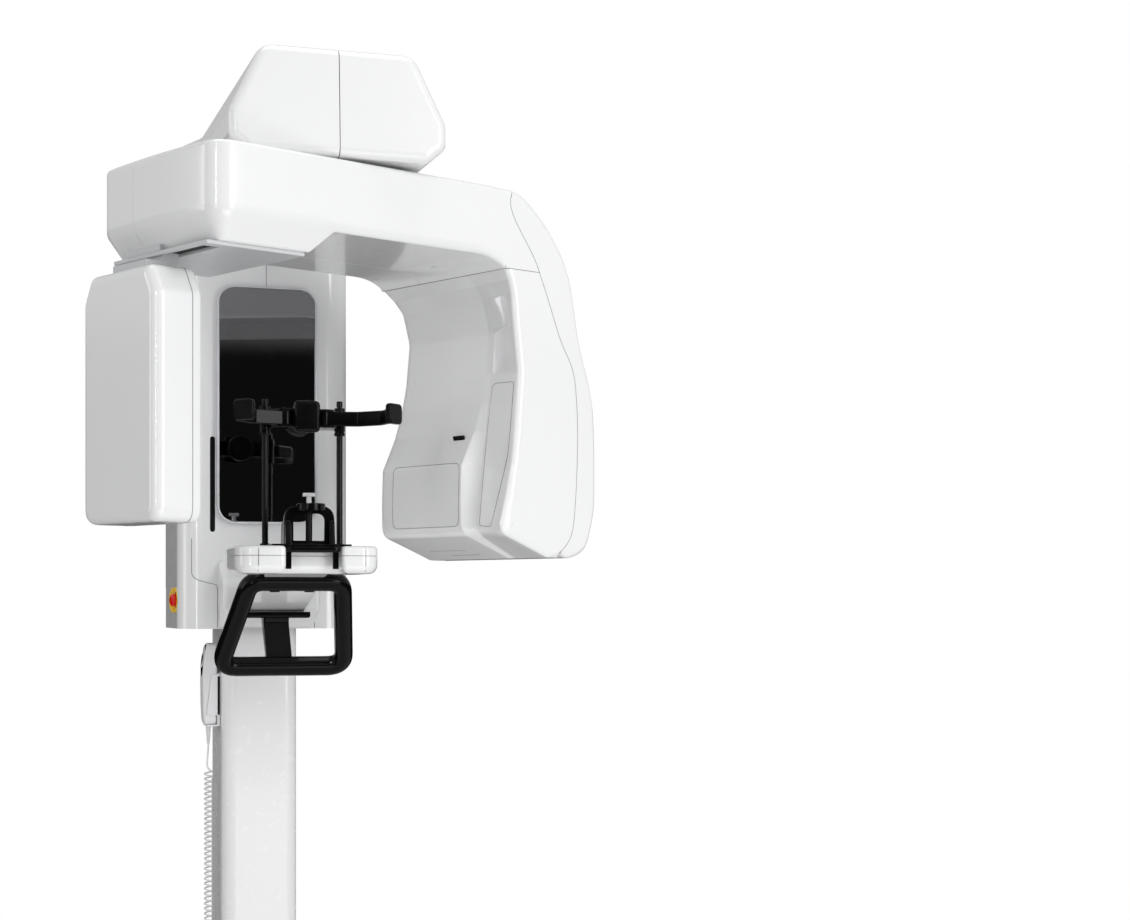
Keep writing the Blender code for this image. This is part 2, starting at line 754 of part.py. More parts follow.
def build_shelf():
    back = REAR_COVER_BACK
    for side, word in ((-1, "left"), (1, "right")):
        stations = [
            (back, 0.006),
            (back - 0.006, 0.0),
            (0.0, 0.0),
            (-0.105, 0.0),
            (-0.210, 0.0),
            (SHELF_FRONT + 0.030, 0.0),
            (SHELF_FRONT + 0.008, 0.010),
            (SHELF_FRONT, 0.030),
        ]
        rings = [shelf_half(y, shrink, side, GAP, SHELF_LOW) for y, shrink in stations]
        cover = loft("shelf_cover_" + word, rings, WHITE)
        stations = [
            (back - WALL, 0.010),
            (back - 0.010, WALL),
            (0.0, WALL),
            (-0.105, WALL),
            (-0.210, WALL),
            (SHELF_FRONT + 0.034, WALL),
            (SHELF_FRONT + 0.014, 0.014),
            (SHELF_FRONT + 0.006, 0.034),
        ]
        rings = [shelf_half(y, shrink, side, -0.02, SHELF_LOW - 0.02) for y, shrink in stations]
        cut(cover, loft("shelf_hollow_" + word, rings, None))
        smooth(cover, 30)

    side = SHELF_SIDE * 0.828 - WALL - GAP
    floor_front = SHELF_FRONT + 0.050
    floor_back = back - 0.012
    floor = [(-side, floor_front), (side, floor_front), (side, floor_back), (-side, floor_back)]
    hole = arc(0.0, -AXIS_REACH, HUB_RADIUS + 0.002, 0, 345, 23)
    opening = rounded((-0.105, -0.098), (0.105, back - 0.022), [0.01] * 4)
    plate("shelf_floor", [floor, hole, opening], SHELF_LOW + 0.001, FLOOR_TOP, WHITE)

    frame_front = -COLUMN_FACE - 0.0036 - 0.006 - 2 * GAP
    beam_side = 0.112
    sheet = 0.006
    section = [
        (-beam_side, FLOOR_TOP + GAP),
        (-beam_side + sheet, FLOOR_TOP + GAP),
        (-beam_side + sheet, BEAM_LOW),
        (beam_side - sheet, BEAM_LOW),
        (beam_side - sheet, FLOOR_TOP + GAP),
        (beam_side, FLOOR_TOP + GAP),
        (beam_side, BEAM_HIGH),
        (-beam_side, BEAM_HIGH),
    ]
    beam = plate("shelf_beam", [section], -frame_front, AXIS_REACH + 0.105, STEEL, way=FACING)
    upstand = block(
        "beam_upstand",
        (-0.080, frame_front - 0.006, BEAM_HIGH - 0.001),
        (0.080, frame_front, BEAM_HIGH + 0.020),
        None,
    )
    join(beam, upstand)
    hub_hole = turned(
        "beam_hub_hole",
        rod_profile(HUB_RADIUS + 0.002, BEAM_LOW - 0.02, BEAM_HIGH + 0.02),
        None,
        place=Matrix.Translation((0.0, -AXIS_REACH, 0.0)),
        steps=32,
    )
    motor_hole = turned(
        "beam_motor_hole",
        rod_profile(0.012, BEAM_LOW - 0.02, BEAM_HIGH + 0.02),
        None,
        place=Matrix.Translation((0.0, -AXIS_REACH + MOTOR_OFFSET, 0.0)),
    )
    cut(beam, hub_hole, motor_hole)

    axis = Matrix.Translation((0.0, -AXIS_REACH, 0.0))
    inner = HUB_RADIUS + GAP
    turned(
        "bearing_outer_ring",
        [
            (inner, BEAM_LOW - GAP),
            (inner + 0.024, BEAM_LOW - GAP),
            (inner + 0.024, BEAM_LOW - 0.018),
            (inner, BEAM_LOW - 0.018),
        ],
        STEEL,
        place=axis,
        steps=32,
    )
    motor = Matrix.Translation((0.0, -AXIS_REACH + MOTOR_OFFSET, 0.0))
    turned(
        "rotation_motor",
        [
            (0.0, BEAM_LOW - GAP),
            (0.034, BEAM_LOW - GAP),
            (0.034, FLOOR_TOP + GAP),
            (0.0, FLOOR_TOP + GAP),
        ],
        BLACK,
        place=motor,
    )
    belt_low = BEAM_HIGH + 0.016
    belt_high = belt_low + 0.014
    small = HUB_RADIUS / PULLEY_RATIO
    spin = joint_empty("motor_pulley_axis", motor)
    pulley = turned(
        "motor_pulley",
        [
            (0.0, belt_high + 0.003),
            (small + 0.003, belt_high + 0.003),
            (small + 0.003, belt_high + GAP),
            (small, belt_high + GAP),
            (small, belt_low - GAP),
            (small + 0.003, belt_low - GAP),
            (small + 0.003, belt_low - 0.003),
            (0.006, belt_low - 0.003),
            (0.006, BEAM_LOW),
            (0.0, BEAM_LOW),
        ],
        ALLOY,
        place=motor,
    )
    keep_place(pulley, spin)
    outlines = [belt_outline(small, 0.0018), belt_outline(small, GAP)]
    plate("drive_belt", outlines, belt_low, belt_high, RUBBER)


def belt_outline(small, away):
    """The outline of a belt round the hub and the motor pulley, at a distance from both."""
    lean = math.degrees(math.asin((HUB_RADIUS - small) / MOTOR_OFFSET))
    near = arc(0.0, -AXIS_REACH, HUB_RADIUS + away, 180 - lean, 360 + lean, 22)
    far = arc(0.0, -AXIS_REACH + MOTOR_OFFSET, small + away, lean, 180 - lean, 12)
    return near + far


# ------------------------------------------------------------------ table, handle
def build_table():
    face = CARRIAGE_FRONT - 0.0705 - 3 * GAP
    profile = [
        (face, LEVEL - 0.022),
        (face, LEVEL + 0.029),
        (face - 0.027, LEVEL + 0.038),
        (face - 0.148, LEVEL + 0.067),
        (face - 0.192, LEVEL + 0.084),
        (TABLE_BACK - 0.005, LEVEL + TABLE_HIGH - 0.003),
        (TABLE_BACK - 0.060, LEVEL + TABLE_HIGH - 0.003),
        (TABLE_BACK - 0.060, LEVEL + TABLE_LOW + 0.003),
        (TABLE_BACK - 0.028, LEVEL + TABLE_LOW),
        (face - 0.190, LEVEL + 0.036),
        (face - 0.156, LEVEL + 0.015),
        (face - 0.030, LEVEL - 0.022),
    ]
    arm = plate("table_support_arm", [profile], -0.055, 0.055, WHITE, way=SIDEWAYS)
    saddle = rail("handle_saddle", handle_route(), HANDLE_RADIUS + GAP, None, sides=3, closed=True)
    cut(arm, saddle)
    lean = Matrix.Rotation(math.radians(-13.5), 4, "X")
    centre = Matrix.Translation((-0.055, face - 0.075, LEVEL + 0.012)) @ lean
    recess = ("control_recess", 0.082, 0.018, 0.0045)
    strip = ("control_strip", 0.0814, 0.0174, 0.0036)
    for name, length, height, depth in (recess, strip):
        outline = rounded((-length / 2, -height / 2), (length / 2, height / 2), [0.004] * 4, 2)
        is_strip = name == "control_strip"
        material = BLACK if is_strip else None
        outer = -0.0005 if is_strip else -0.010
        piece = plate(name, [outline], outer, depth, material, way=SIDEWAYS)
        piece.data.transform(centre)
        if not is_strip:
            cut(arm, piece)

    side = TABLE_WIDTH / 2
    notch = 0.049
    low_z = LEVEL + TABLE_LOW
    high_z = LEVEL + TABLE_HIGH
    outline = arc(-side + 0.045, TABLE_FRONT + 0.045, 0.045, 180, 270, 5)
    notch_back = TABLE_FRONT + 0.030
    outline += [(-notch, TABLE_FRONT), (-notch, notch_back), (notch, notch_back), (notch, TABLE_FRONT)]
    outline += arc(side - 0.045, TABLE_FRONT + 0.045, 0.045, 270, 360, 5)
    outline += arc(side - 0.070, TABLE_BACK - 0.070, 0.070, 0, 90, 5)
    bay = TABLE_BACK - 0.0603
    outline += [(0.0553, TABLE_BACK), (0.0553, bay), (-0.0553, bay), (-0.0553, TABLE_BACK)]
    outline += arc(-side + 0.070, TABLE_BACK - 0.070, 0.070, 90, 180, 5)
    table = plate("chin_table", [outline], low_z, high_z, WHITE)
    bevel(table, 0.006)
    smooth(table, 30)

    base_low = high_z + GAP
    rest = plate(
        "chin_rest_frame",
        [
            [
                (-0.0445, base_low),
                (-0.0445, base_low + 0.060),
                (-0.0330, base_low + 0.0715),
                (0.0330, base_low + 0.0715),
                (0.0445, base_low + 0.060),
                (0.0445, base_low),
            ],
            [
                (-0.0345, base_low + 0.008),
                (0.0345, base_low + 0.008),
                (0.0345, base_low + 0.057),
                (0.0290, base_low + 0.0625),
                (-0.0290, base_low + 0.0625),
                (-0.0345, base_low + 0.057),
            ],
        ],
        0.580,
        0.592,
        BLACK,
        way=FACING,
    )
    wing_low = base_low + 0.004
    wing_high = base_low + 0.043
    for piece in (
        block("chin_base", (-0.0445, -0.610, base_low), (0.0445, -0.545, base_low + 0.0075), None),
        block("chin_wing_left", (-0.0440, -0.610, wing_low), (-0.0360, -0.545, wing_high), None),
        block("chin_wing_right", (0.0360, -0.610, wing_low), (0.0440, -0.545, wing_high), None),
        block("chin_post", (-0.0065, -0.5895, base_low + 0.004), (0.0065, -0.5825, base_low + 0.066), None),
    ):
        join(rest, piece)
    bite = turned(
        "bite_block",
        [
            (0.0, base_low + 0.089),
            (0.0110, base_low + 0.089),
            (0.0110, base_low + 0.084),
            (0.0045, base_low + 0.081),
            (0.0045, base_low + 0.0715 + GAP),
            (0.0, base_low + 0.0715 + GAP),
        ],
        CLEAR,
        place=Matrix.Translation((0.0, -0.586, 0.0)),
        steps=16,
    )
    smooth(bite)
    for side, word in ((-1, "left"), (1, "right")):
        route = [(side * ROD_X, ROD_Y, base_low), (side * ROD_X, ROD_Y, LEVEL + ROD_HIGH)]
        rail("support_rod_" + word, route, ROD_RADIUS, BLACK, sides=3)


def handle_route():
    """The centre line of the handle's loop, from bar to bar with rounded corners."""
    top_y = -0.430
    top_z = LEVEL + 0.035
    low_y = -0.289
    low_z = LEVEL - 0.125
    lean = math.hypot(low_y - top_y, low_z - top_z)
    flat = [(-0.113, -lean), (0.113, -lean), (0.078, 0.0), (-0.078, 0.0)]
    corners = []
    radius = 0.022
    for before, here, after in zip(flat[-1:] + flat[:-1], flat, flat[1:] + flat[:1]):
        back = math.dist(before, here)
        ahead = math.dist(here, after)
        start = [h + (b - h) * radius / back for h, b in zip(here, before)]
        end = [h + (a - h) * radius / ahead for h, a in zip(here, after)]
        for i in range(5):
            t = i / 4
            corners.append(
                tuple((1 - t) ** 2 * s + 2 * t * (1 - t) * h + t**2 * e for s, h, e in zip(start, here, end))
            )
    along = ((low_y - top_y) / -lean, (low_z - top_z) / -lean)
    return [(x, top_y + along[0] * v, top_z + along[1] * v) for x, v in corners]


def build_handle():
    loop = rail("patient_handle", handle_route(), HANDLE_RADIUS, BLACK, sides=3, closed=True)
    low = LEVEL - 0.022 - GAP
    post = [
        (-0.214, low),
        (-0.262, low),
        (-0.262, low - 0.012),
        (-0.249, low - 0.014),
        (-0.298, LEVEL - 0.122),
        (-0.282, LEVEL - 0.130),
        (-0.226, low - 0.014),
        (-0.214, low - 0.012),
    ]
    post = plate("handle_post", [post], -0.025, 0.025, None, way=SIDEWAYS)
    bracket = block("handle_bracket", (-0.066, -0.262, low - 0.012), (0.066, -0.214, low), None)
    join(loop, post, bracket)


# ------------------------------------------------------------------ head support
def build_head_support():
    support = joint_empty("head_support_axis", Matrix.Translation((0.0, ROD_Y, LEVEL + BRIDGE_HEIGHT)))
    middle = LEVEL + BRIDGE_HEIGHT
    profile = [
        (-0.5045, middle - 0.0165),
        (-0.5045, middle + 0.0165),
        (-0.5640, middle + 0.0165),
        (-0.5640, middle + 0.0123),
        (-0.5340, middle + 0.0123),
        (-0.5340, middle - 0.0123),
        (-0.5640, middle - 0.0123),
        (-0.5640, middle - 0.0165),
    ]
    bridge = plate("head_support_bridge", [profile], -0.060, 0.060, BLACK, way=SIDEWAYS)
    for side, word in ((-1, "left"), (1, "right")):
        sleeve = turned(
            "rod_sleeve_" + word,
            [
                (ROD_RADIUS + GAP, middle + 0.022),
                (ROD_RADIUS + 0.004, middle + 0.022),
                (ROD_RADIUS + 0.004, middle - 0.028),
                (ROD_RADIUS + GAP, middle - 0.028),
            ],
            None,
            place=Matrix.Translation((side * ROD_X, ROD_Y, 0.0)),
        )
        pin = turned(
            "arm_pin_" + word,
            rod_profile(0.0035, middle - 0.014, middle + 0.014),
            None,
            place=Matrix.Translation((side * 0.035, -0.552, 0.0)),
            steps=12,
        )
        join(bridge, sleeve, pin)
    keep_place(bridge, support)

    pad = plate(
        "forehead_pad",
        [rounded((-0.023, middle - 0.026), (0.023, middle + 0.030), [0.009] * 4)],
        0.5640 + GAP,
        0.5760,
        BLACK,
        way=FACING,
    )
    bevel(pad, 0.004)
    keep_place(pad, support)

    turn = Matrix.Translation((0.0, -0.5045 + GAP, middle)) @ Matrix.Rotation(-math.pi / 2, 4, "X")
    knob_axis = joint_empty("clamp_knob_axis", turn)
    knob = turned(
        "clamp_knob",
        [(0.0, 0.022), (0.024, 0.022), (0.027, 0.018), (0.027, 0.004), (0.018, 0.0), (0.0, 0.0)],
        BLACK,
        place=turn,
    )
    smooth(knob)
    keep_place(knob, knob_axis)

    for side, word in ((-1, "left"), (1, "right")):
        pivot = joint_empty("temple_axis_" + word, Matrix.Translation((side * 0.035, -0.552, middle)))
        bar = [
            (0.030, -0.5475),
            (0.030, -0.5565),
            (0.090, -0.5700),
            (0.1225, -0.6050),
            (0.1305, -0.6500),
            (0.1305, -0.7060),
            (0.1385, -0.7060),
            (0.1385, -0.6480),
            (0.1300, -0.6000),
            (0.0950, -0.5610),
        ]
        outline = [(side * x, y) for x, y in bar]
        arm = plate("temple_arm_" + word, [outline], middle - 0.010, middle + 0.010, BLACK)
        boss = turned(
            "arm_boss_" + word,
            rod_profile(0.0105, middle - 0.0118, middle + 0.0118),
            None,
            place=Matrix.Translation((side * 0.035, -0.552, 0.0)),
            steps=16,
        )
        hole = turned(
            "arm_hole_" + word,
            [(0.0, middle + 0.03), (0.0038, middle + 0.03), (0.0038, middle - 0.03), (0.0, middle - 0.03)],
            None,
            place=Matrix.Translation((side * 0.035, -0.552, 0.0)),
            steps=12,
        )
        inner_side, outer_side = sorted((side * 0.1205, side * 0.1315))
        pad = block(
            "arm_pad_" + word,
            (inner_side, -0.7080, middle - 0.018),
            (outer_side, -0.6740, middle + 0.018),
            None,
        )
        bevel(pad, 0.003, 1)
        join(arm, boss, pad)
        cut(arm, hole)
        keep_place(arm, pivot)


# ------------------------------------------------------------------ rotating arm
def arm_end(y):
    """Where the arm's sensor end lies at one y: bowed, with rounded corners."""
    radius = 0.040
    over = max(0.0, abs(y) - (ARM_SIDE - radius))
    corner = radius - math.sqrt(max(0.0, radius**2 - over**2))
    return ARM_END + 0.008 * (y / ARM_SIDE) ** 2 + min(corner, 0.030)


def arm_ring(y, low, shallow, shrink):
    """The arm cover's outline at one y: along the top, down the tube end, back under the arm."""
    end = arm_end(y)
    ring = [
        (end, low),
        (end, -shrink),
        (0.256, -shrink),
        (0.284, -0.002 - shrink),
        (0.278, -0.030),
        (0.287, -0.051),
        (0.324, -0.102),
        (0.345, -0.139),
        (0.284, -0.139),
        (0.262, -0.130),
        (0.235, shallow),
        (-0.089, shallow),
        (-0.123, low),
    ]
    return across(ring, y)


def arm_hollow_ring(y, low, shallow):
    end = arm_end(min(abs(y), ARM_SIDE - 0.020)) + WALL
    ring = [
        (end, low),
        (end, -WALL),
        (0.256, -WALL),
        (0.370, -WALL),
        (0.370, -0.170),
        (0.292, -0.170),
        (0.262, -0.124),
        (0.235, shallow),
        (-0.089, shallow),
        (-0.123, low),
    ]
    return across(ring, y)


def build_arm_covers(body):
    edge = ARM_SIDE
    side_rings = [
        (edge, SIDE_LOW + 0.006, SIDE_LOW - 0.001, 0.008),
        (edge - 0.008, SIDE_LOW, SIDE_LOW - 0.004, 0.0),
        (edge - 0.030, DEEP_LOW, SHALLOW_LOW, 0.0),
    ]
    hollow_rings = [
        (edge - 0.011, SIDE_LOW + WALL, SHALLOW_LOW + WALL + 0.004),
        (edge - 0.032, DEEP_LOW + WALL, SHALLOW_LOW + WALL),
    ]
    for word, way, split in (("front", -1, SPLIT_Y - GAP), ("rear", 1, SPLIT_Y)):
        rings = [arm_ring(way * y, low, shallow, shrink) for y, low, shallow, shrink in side_rings]
        rings.append(arm_ring(split, DEEP_LOW, SHALLOW_LOW, 0.0))
        cover = loft("arm_cover_" + word, rings, WHITE, body)
        rings = [arm_hollow_ring(way * y, low, shallow) for y, low, shallow in hollow_rings]
        rings.append(arm_hollow_ring(split - way * 0.02, DEEP_LOW + WALL, SHALLOW_LOW + WALL))
        hollow = loft("arm_hollow_" + word, rings, None, body)
        opening = block(
            "track_opening_" + word,
            (ARM_END + 0.013, -TRACK_SIDE, -0.20),
            (TRACK_END, TRACK_SIDE, -0.13),
            None,
            body,
        )
        hub_hole = turned(
            "hub_opening_" + word,
            [(0.0, 0.02), (HUB_RADIUS + 0.001, 0.02), (HUB_RADIUS + 0.001, -0.02), (0.0, -0.02)],
            None,
            body,
            steps=32,
        )
        cut(cover, hollow, opening, hub_hole)
        smooth(cover, 30)


def build_arm_core(body):
    clear = 2 * GAP
    low = ARM_END + 0.013 + clear
    high = TRACK_END - clear
    side = TRACK_SIDE - clear
    track = plate(
        "sensor_track_plate",
        [
            [(low, -side), (high, -side), (high, side), (low, side)],
            [(-0.3040, -0.122), (-0.2730, -0.122), (-0.2730, 0.107), (-0.3040, 0.107)],
        ],
        -0.160,
        -0.1535,
        GREY,
        body,
    )
    bevel(track, 0.001, 1)
    frame = plate(
        "arm_frame",
        [
            [
                (ARM_END + 0.015, -WALL - GAP - 0.007),
                (ARM_END + 0.015, -WALL - GAP),
                (0.268, -WALL - GAP),
                (0.362, -0.098),
                (0.368, -0.300),
                (0.368, -0.3797),
                (0.358, -0.3797),
                (0.358, -0.300),
                (0.352, -0.102),
                (0.262, -WALL - GAP - 0.007),
            ]
        ],
        -0.060,
        SPLIT_Y - 0.002,
        STEEL,
        body,
        way=FACING,
    )
    centre_hole = turned(
        "frame_centre_hole", [(0.0, 0.01), (0.030, 0.01), (0.030, -0.03), (0.0, -0.03)], None, body
    )
    cut(frame, centre_hole)

    beam_low = BEAM_LOW - ARM_TOP
    beam_high = BEAM_HIGH - ARM_TOP
    hub = turned(
        "arm_hub",
        [
            (0.030, beam_high + 0.036),
            (HUB_RADIUS, beam_high + 0.036),
            (HUB_RADIUS, beam_high + 0.009),
            (HUB_RADIUS + 0.008, beam_high + 0.007),
            (HUB_RADIUS + 0.008, beam_high + GAP),
            (HUB_RADIUS, beam_high + GAP),
            (HUB_RADIUS, beam_low - 0.030),
            (HUB_RADIUS, -WALL),
            (0.030, -WALL),
        ],
        ALLOY,
        body,
        steps=32,
    )
    smooth(hub)

    tank = block("xray_tube_tank", (0.312, -0.120, -0.612), (0.428, 0.130, -0.380), ALLOY, body)
    bevel(tank, 0.008)
    port = block("beam_port", (0.271, 0.000, -0.548), (0.313, 0.090, -0.482), None, body)
    join(tank, port)


# Depth of each height line of the tube head, below the arm's top
TUBE_LINES = (-0.1396, -0.177, -0.235, -0.315, -0.367, -0.416, -0.473, -0.539, -0.585, -0.615)
FACE_AT_FRONT = (0.276, 0.285, 0.291, 0.301, 0.297, 0.294, 0.289, 0.281, 0.277, 0.292)
FACE_BY_PANEL = (0.284, 0.303, 0.318, 0.315, 0.308, 0.304, 0.301, 0.297, 0.293, 0.302)
FACE_ON_PATIENT = (0.284, 0.306, 0.324, 0.315, 0.304, 0.289, 0.264, 0.261, 0.277, 0.300)
SEAM = (
    (0.394, -0.632),
    (0.421, -0.600),
    (0.431, -0.537),
    (0.436, -0.430),
    (0.433, -0.357),
    (0.424, -0.305),
    (0.395, -0.254),
    (0.366, -0.186),
    (0.3455, -0.1396),
)
BACK = (
    (0.290, -0.0020),
    (0.315, -0.013),
    (0.371, -0.062),
    (0.418, -0.136),
    (0.443, -0.250),
    (0.475, -0.355),
    (0.482, -0.445),
    (0.482, -0.536),
    (0.472, -0.590),
    (0.455, -0.630),
    (0.420, -0.641),
)


def tube_ring(y, face, shrink):
    """The tube head cover's outline at one y: down the patient side, round the bottom, up the seam."""
    ring = list(zip(face, TUBE_LINES)) + [(0.325, -0.641), (0.392, -0.641)] + list(SEAM)
    moved = inset(ring, shrink) if shrink else ring
    return across([(x, min(z, TUBE_LINES[0])) for x, z in moved], y)


def tube_hollow_ring(y, face):
    """The space inside the tube head cover, open at its top and back."""
    inner = [(x + WALL, z) for x, z in zip(face, TUBE_LINES)]
    inner[0] = (face[0] + WALL, -0.110)
    inner[-1] = (face[-1] + WALL, -0.612)
    ring = inner + [(0.330, -0.637), (0.380, -0.637), (0.500, -0.625), (0.500, -0.110)]
    return across(ring, y)


def back_ring(y, shrink):
    """The back shell's outline at one y, between the seam and the machine's back."""
    seam = [(x + 2 * GAP, z) for x, z in SEAM[::-1]]
    seam = [(0.2850, -0.0022), (0.2790, -0.0302), (0.2880, -0.0510), (0.3250, -0.1018)] + seam
    seam[4] = (0.3465, -0.1396)
    ring = seam[::-1] + list(BACK)
    ring[0] = (0.398, -0.6345)
    return across(inset(ring, shrink) if shrink else ring, y)


def back_hollow_ring(y):
    outer = [(x - WALL, z - 0.002) for x, z in BACK[:4]]
    outer += [(x - WALL, z) for x, z in BACK[4:9]]
    outer += [(0.448, -0.626), (0.418, -0.6365)]
    ring = [(0.340, -0.6365), (0.340, -0.250), (0.240, -0.090), (0.240, -0.006)] + outer
    return across(ring, y)


def build_tube_head(body):
    edge = ARM_SIDE
    stations = [
        (-edge, FACE_AT_FRONT, 0.006),
        (-edge + 0.006, FACE_AT_FRONT, 0.0),
        (-0.090, FACE_BY_PANEL, 0.0),
        (-0.068, FACE_ON_PATIENT, 0.0),
        (edge - 0.016, FACE_ON_PATIENT, 0.0),
        (edge - 0.006, FACE_ON_PATIENT, 0.002),
        (edge, FACE_ON_PATIENT, 0.010),
    ]
    cover = loft("tube_head_cover", [tube_ring(*station) for station in stations], WHITE, body)
    stations = [
        (-edge + 0.009, FACE_AT_FRONT),
        (-0.088, FACE_BY_PANEL),
        (-0.064, FACE_ON_PATIENT),
        (edge - 0.012, FACE_ON_PATIENT),
    ]
    cut(cover, loft("tube_head_hollow", [tube_hollow_ring(*station) for station in stations], None, body))
    smooth(cover, 25)

    stations = [(-edge, 0.008), (-edge + 0.008, 0.0), (edge - 0.008, 0.0), (edge, 0.008)]
    shell = loft("tube_head_back_shell", [back_ring(*station) for station in stations], WHITE, body)
    hollow = [back_hollow_ring(-edge + 0.010), back_hollow_ring(edge - 0.010)]
    cut(shell, loft("back_shell_hollow", hollow, None, body))
    smooth(shell, 25)


# ------------------------------------------------------------------ sensor head
def sensor_ring(x, shrink):
    ring = [
        (SENSOR_FRONT, SENSOR_LOW),
        (SENSOR_FRONT, SENSOR_HIGH - 0.044),
        (SENSOR_FRONT + 0.025, SENSOR_HIGH),
        (SENSOR_BACK - 0.025, SENSOR_HIGH),
        (SENSOR_BACK, SENSOR_HIGH - 0.044),
        (SENSOR_BACK, SENSOR_LOW),
    ]
    return [(x, y, z) for y, z in inset(ring, shrink)]


def build_sensor_head(arm):
    body = joint_empty("sensor_shift_axis", LYING)
    body.parent = arm
    seam = SENSOR_IN - 0.018
    outside = [(SENSOR_OUT, 0.012), (SENSOR_OUT + 0.004, 0.004), (SENSOR_OUT + 0.014, 0.0), (seam - GAP, 0.0)]
    cover = loft("sensor_cover_outer", [sensor_ring(*station) for station in outside], WHITE, body)
    inside = [(SENSOR_OUT + WALL, 0.014), (SENSOR_OUT + 0.014, WALL), (seam + 0.01, WALL)]
    cut(cover, loft("sensor_hollow_outer", [sensor_ring(*station) for station in inside], None, body))
    smooth(cover, 25)

    outside = [(seam, 0.0), (SENSOR_IN - 0.008, 0.0), (SENSOR_IN, 0.008)]
    lid = loft("sensor_cover_inner", [sensor_ring(*station) for station in outside], WHITE, body)
    inside = [(seam - 0.01, WALL), (SENSOR_IN - 0.008, WALL), (SENSOR_IN - WALL, 0.009)]
    cut(lid, loft("sensor_hollow_inner", [sensor_ring(*station) for station in inside], None, body))
    smooth(lid, 25)

    face = SENSOR_IN - WALL - GAP
    panel = block(
        "flat_panel_detector",
        (face - 0.030, SENSOR_FRONT + 0.030, SENSOR_LOW + 0.080),
        (face, SENSOR_BACK - 0.030, SENSOR_HIGH - 0.080),
        ALLOY,
        body,
    )
    bevel(panel, 0.002, 1)
    foot = SENSOR_HIGH + GAP
    section = [
        (-0.335, foot),
        (-0.277, foot),
        (-0.277, foot + 0.012),
        (-0.2735, foot + 0.012),
        (-0.2735, -0.153),
        (-0.267, -0.153),
        (-0.267, -0.142),
        (-0.310, -0.142),
        (-0.310, -0.153),
        (-0.3035, -0.153),
        (-0.3035, foot + 0.012),
        (-0.335, foot + 0.012),
    ]
    plate("sensor_carrier", [section], -0.105, 0.000, GREY, body, way=FACING)


def main():
    build_column()
    build_handset()
    build_carriage_core()
    build_carriage_covers()
    build_stops()
    build_rear_lead()
    build_shelf()
    build_table()
    build_handle()
    build_head_support()
    arm = joint_empty(
        "arm_rotation_axis",
        Matrix.Translation((0.0, -AXIS_REACH, ARM_TOP)) @ Matrix.Rotation(ARM_YAW, 4, "Z"),
    )
    build_arm_covers(arm)
    build_arm_core(arm)
    build_tube_head(arm)
    build_sensor_head(arm)


main()
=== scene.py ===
"""A panoramic x-ray machine: a column on a floor plate, a carriage that slides on it with the mirror,
the chin table and the top shelf, and a C-shaped arm under the shelf with the x-ray tube head on one
end and the sensor head on the other. The patient stands on the -Y side. Metres, +Z up.
"""

import math

import bmesh
import bpy
from mathutils import Matrix, Vector


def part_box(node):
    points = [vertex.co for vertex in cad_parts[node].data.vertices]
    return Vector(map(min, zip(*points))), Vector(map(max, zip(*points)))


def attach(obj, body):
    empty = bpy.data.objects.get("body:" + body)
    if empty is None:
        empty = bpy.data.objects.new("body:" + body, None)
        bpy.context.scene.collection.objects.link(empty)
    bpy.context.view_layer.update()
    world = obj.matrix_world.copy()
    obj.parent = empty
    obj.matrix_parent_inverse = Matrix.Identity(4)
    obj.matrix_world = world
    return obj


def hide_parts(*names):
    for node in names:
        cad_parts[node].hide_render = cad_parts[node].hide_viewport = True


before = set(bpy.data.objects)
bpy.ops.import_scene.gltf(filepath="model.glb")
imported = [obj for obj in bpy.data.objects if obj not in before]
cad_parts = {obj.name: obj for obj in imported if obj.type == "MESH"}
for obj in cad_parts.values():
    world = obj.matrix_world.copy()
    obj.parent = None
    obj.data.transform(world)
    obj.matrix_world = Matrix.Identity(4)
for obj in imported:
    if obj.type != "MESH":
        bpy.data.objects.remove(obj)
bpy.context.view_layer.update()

# ---------------------------------------------------------------- camera, lamps and floor
# The machine stands on a pale studio floor. The camera is level, at the height of the emergency
# stops, in front of the patient side and a little to its left, with its frame shifted up.
camera = bpy.data.objects.new("camera", bpy.data.cameras.new("camera"))
bpy.context.scene.collection.objects.link(camera)
camera.location = (-0.665, -4.086, 1.156)
camera.rotation_euler = (math.radians(90.0), 0.0, math.radians(-18.0))
camera.data.lens = 64.2
camera.data.sensor_width = 36.0
camera.data.shift_y = 0.124
bpy.context.scene.camera = camera
bpy.context.scene.view_settings.view_transform = "Standard"


def softbox(name, place, aim, size, power):
    """A soft rectangular studio lamp, turned towards the point it lights."""
    lamp = bpy.data.objects.new(name, bpy.data.lights.new(name, "AREA"))
    lamp.data.shape = "RECTANGLE"
    lamp.data.size, lamp.data.size_y = size
    lamp.data.energy = power
    lamp.location = place
    lamp.rotation_euler = (Vector(aim) - Vector(place)).to_track_quat("-Z", "Y").to_euler()
    bpy.context.scene.collection.objects.link(lamp)


softbox("front_softbox", (2.0, -3.8, 2.1), (0.0, -0.4, 1.15), (1.5, 2.8), 64.0)
softbox("left_softbox", (-3.6, 0.1, 2.0), (0.0, -0.4, 1.3), (1.2, 2.4), 19.0)
softbox("floor_bounce", (0.5, -2.7, 0.12), (0.0, -0.5, 1.7), (2.2, 1.0), 14.0)
softbox("strip_light", (-2.3, -3.5, 1.9), (0.0, -0.6, 1.4), (0.14, 2.4), 17.0)
softbox("top_softbox", (0.2, -0.6, 4.4), (0.0, -0.5, 1.0), (2.6, 2.6), 42.0)

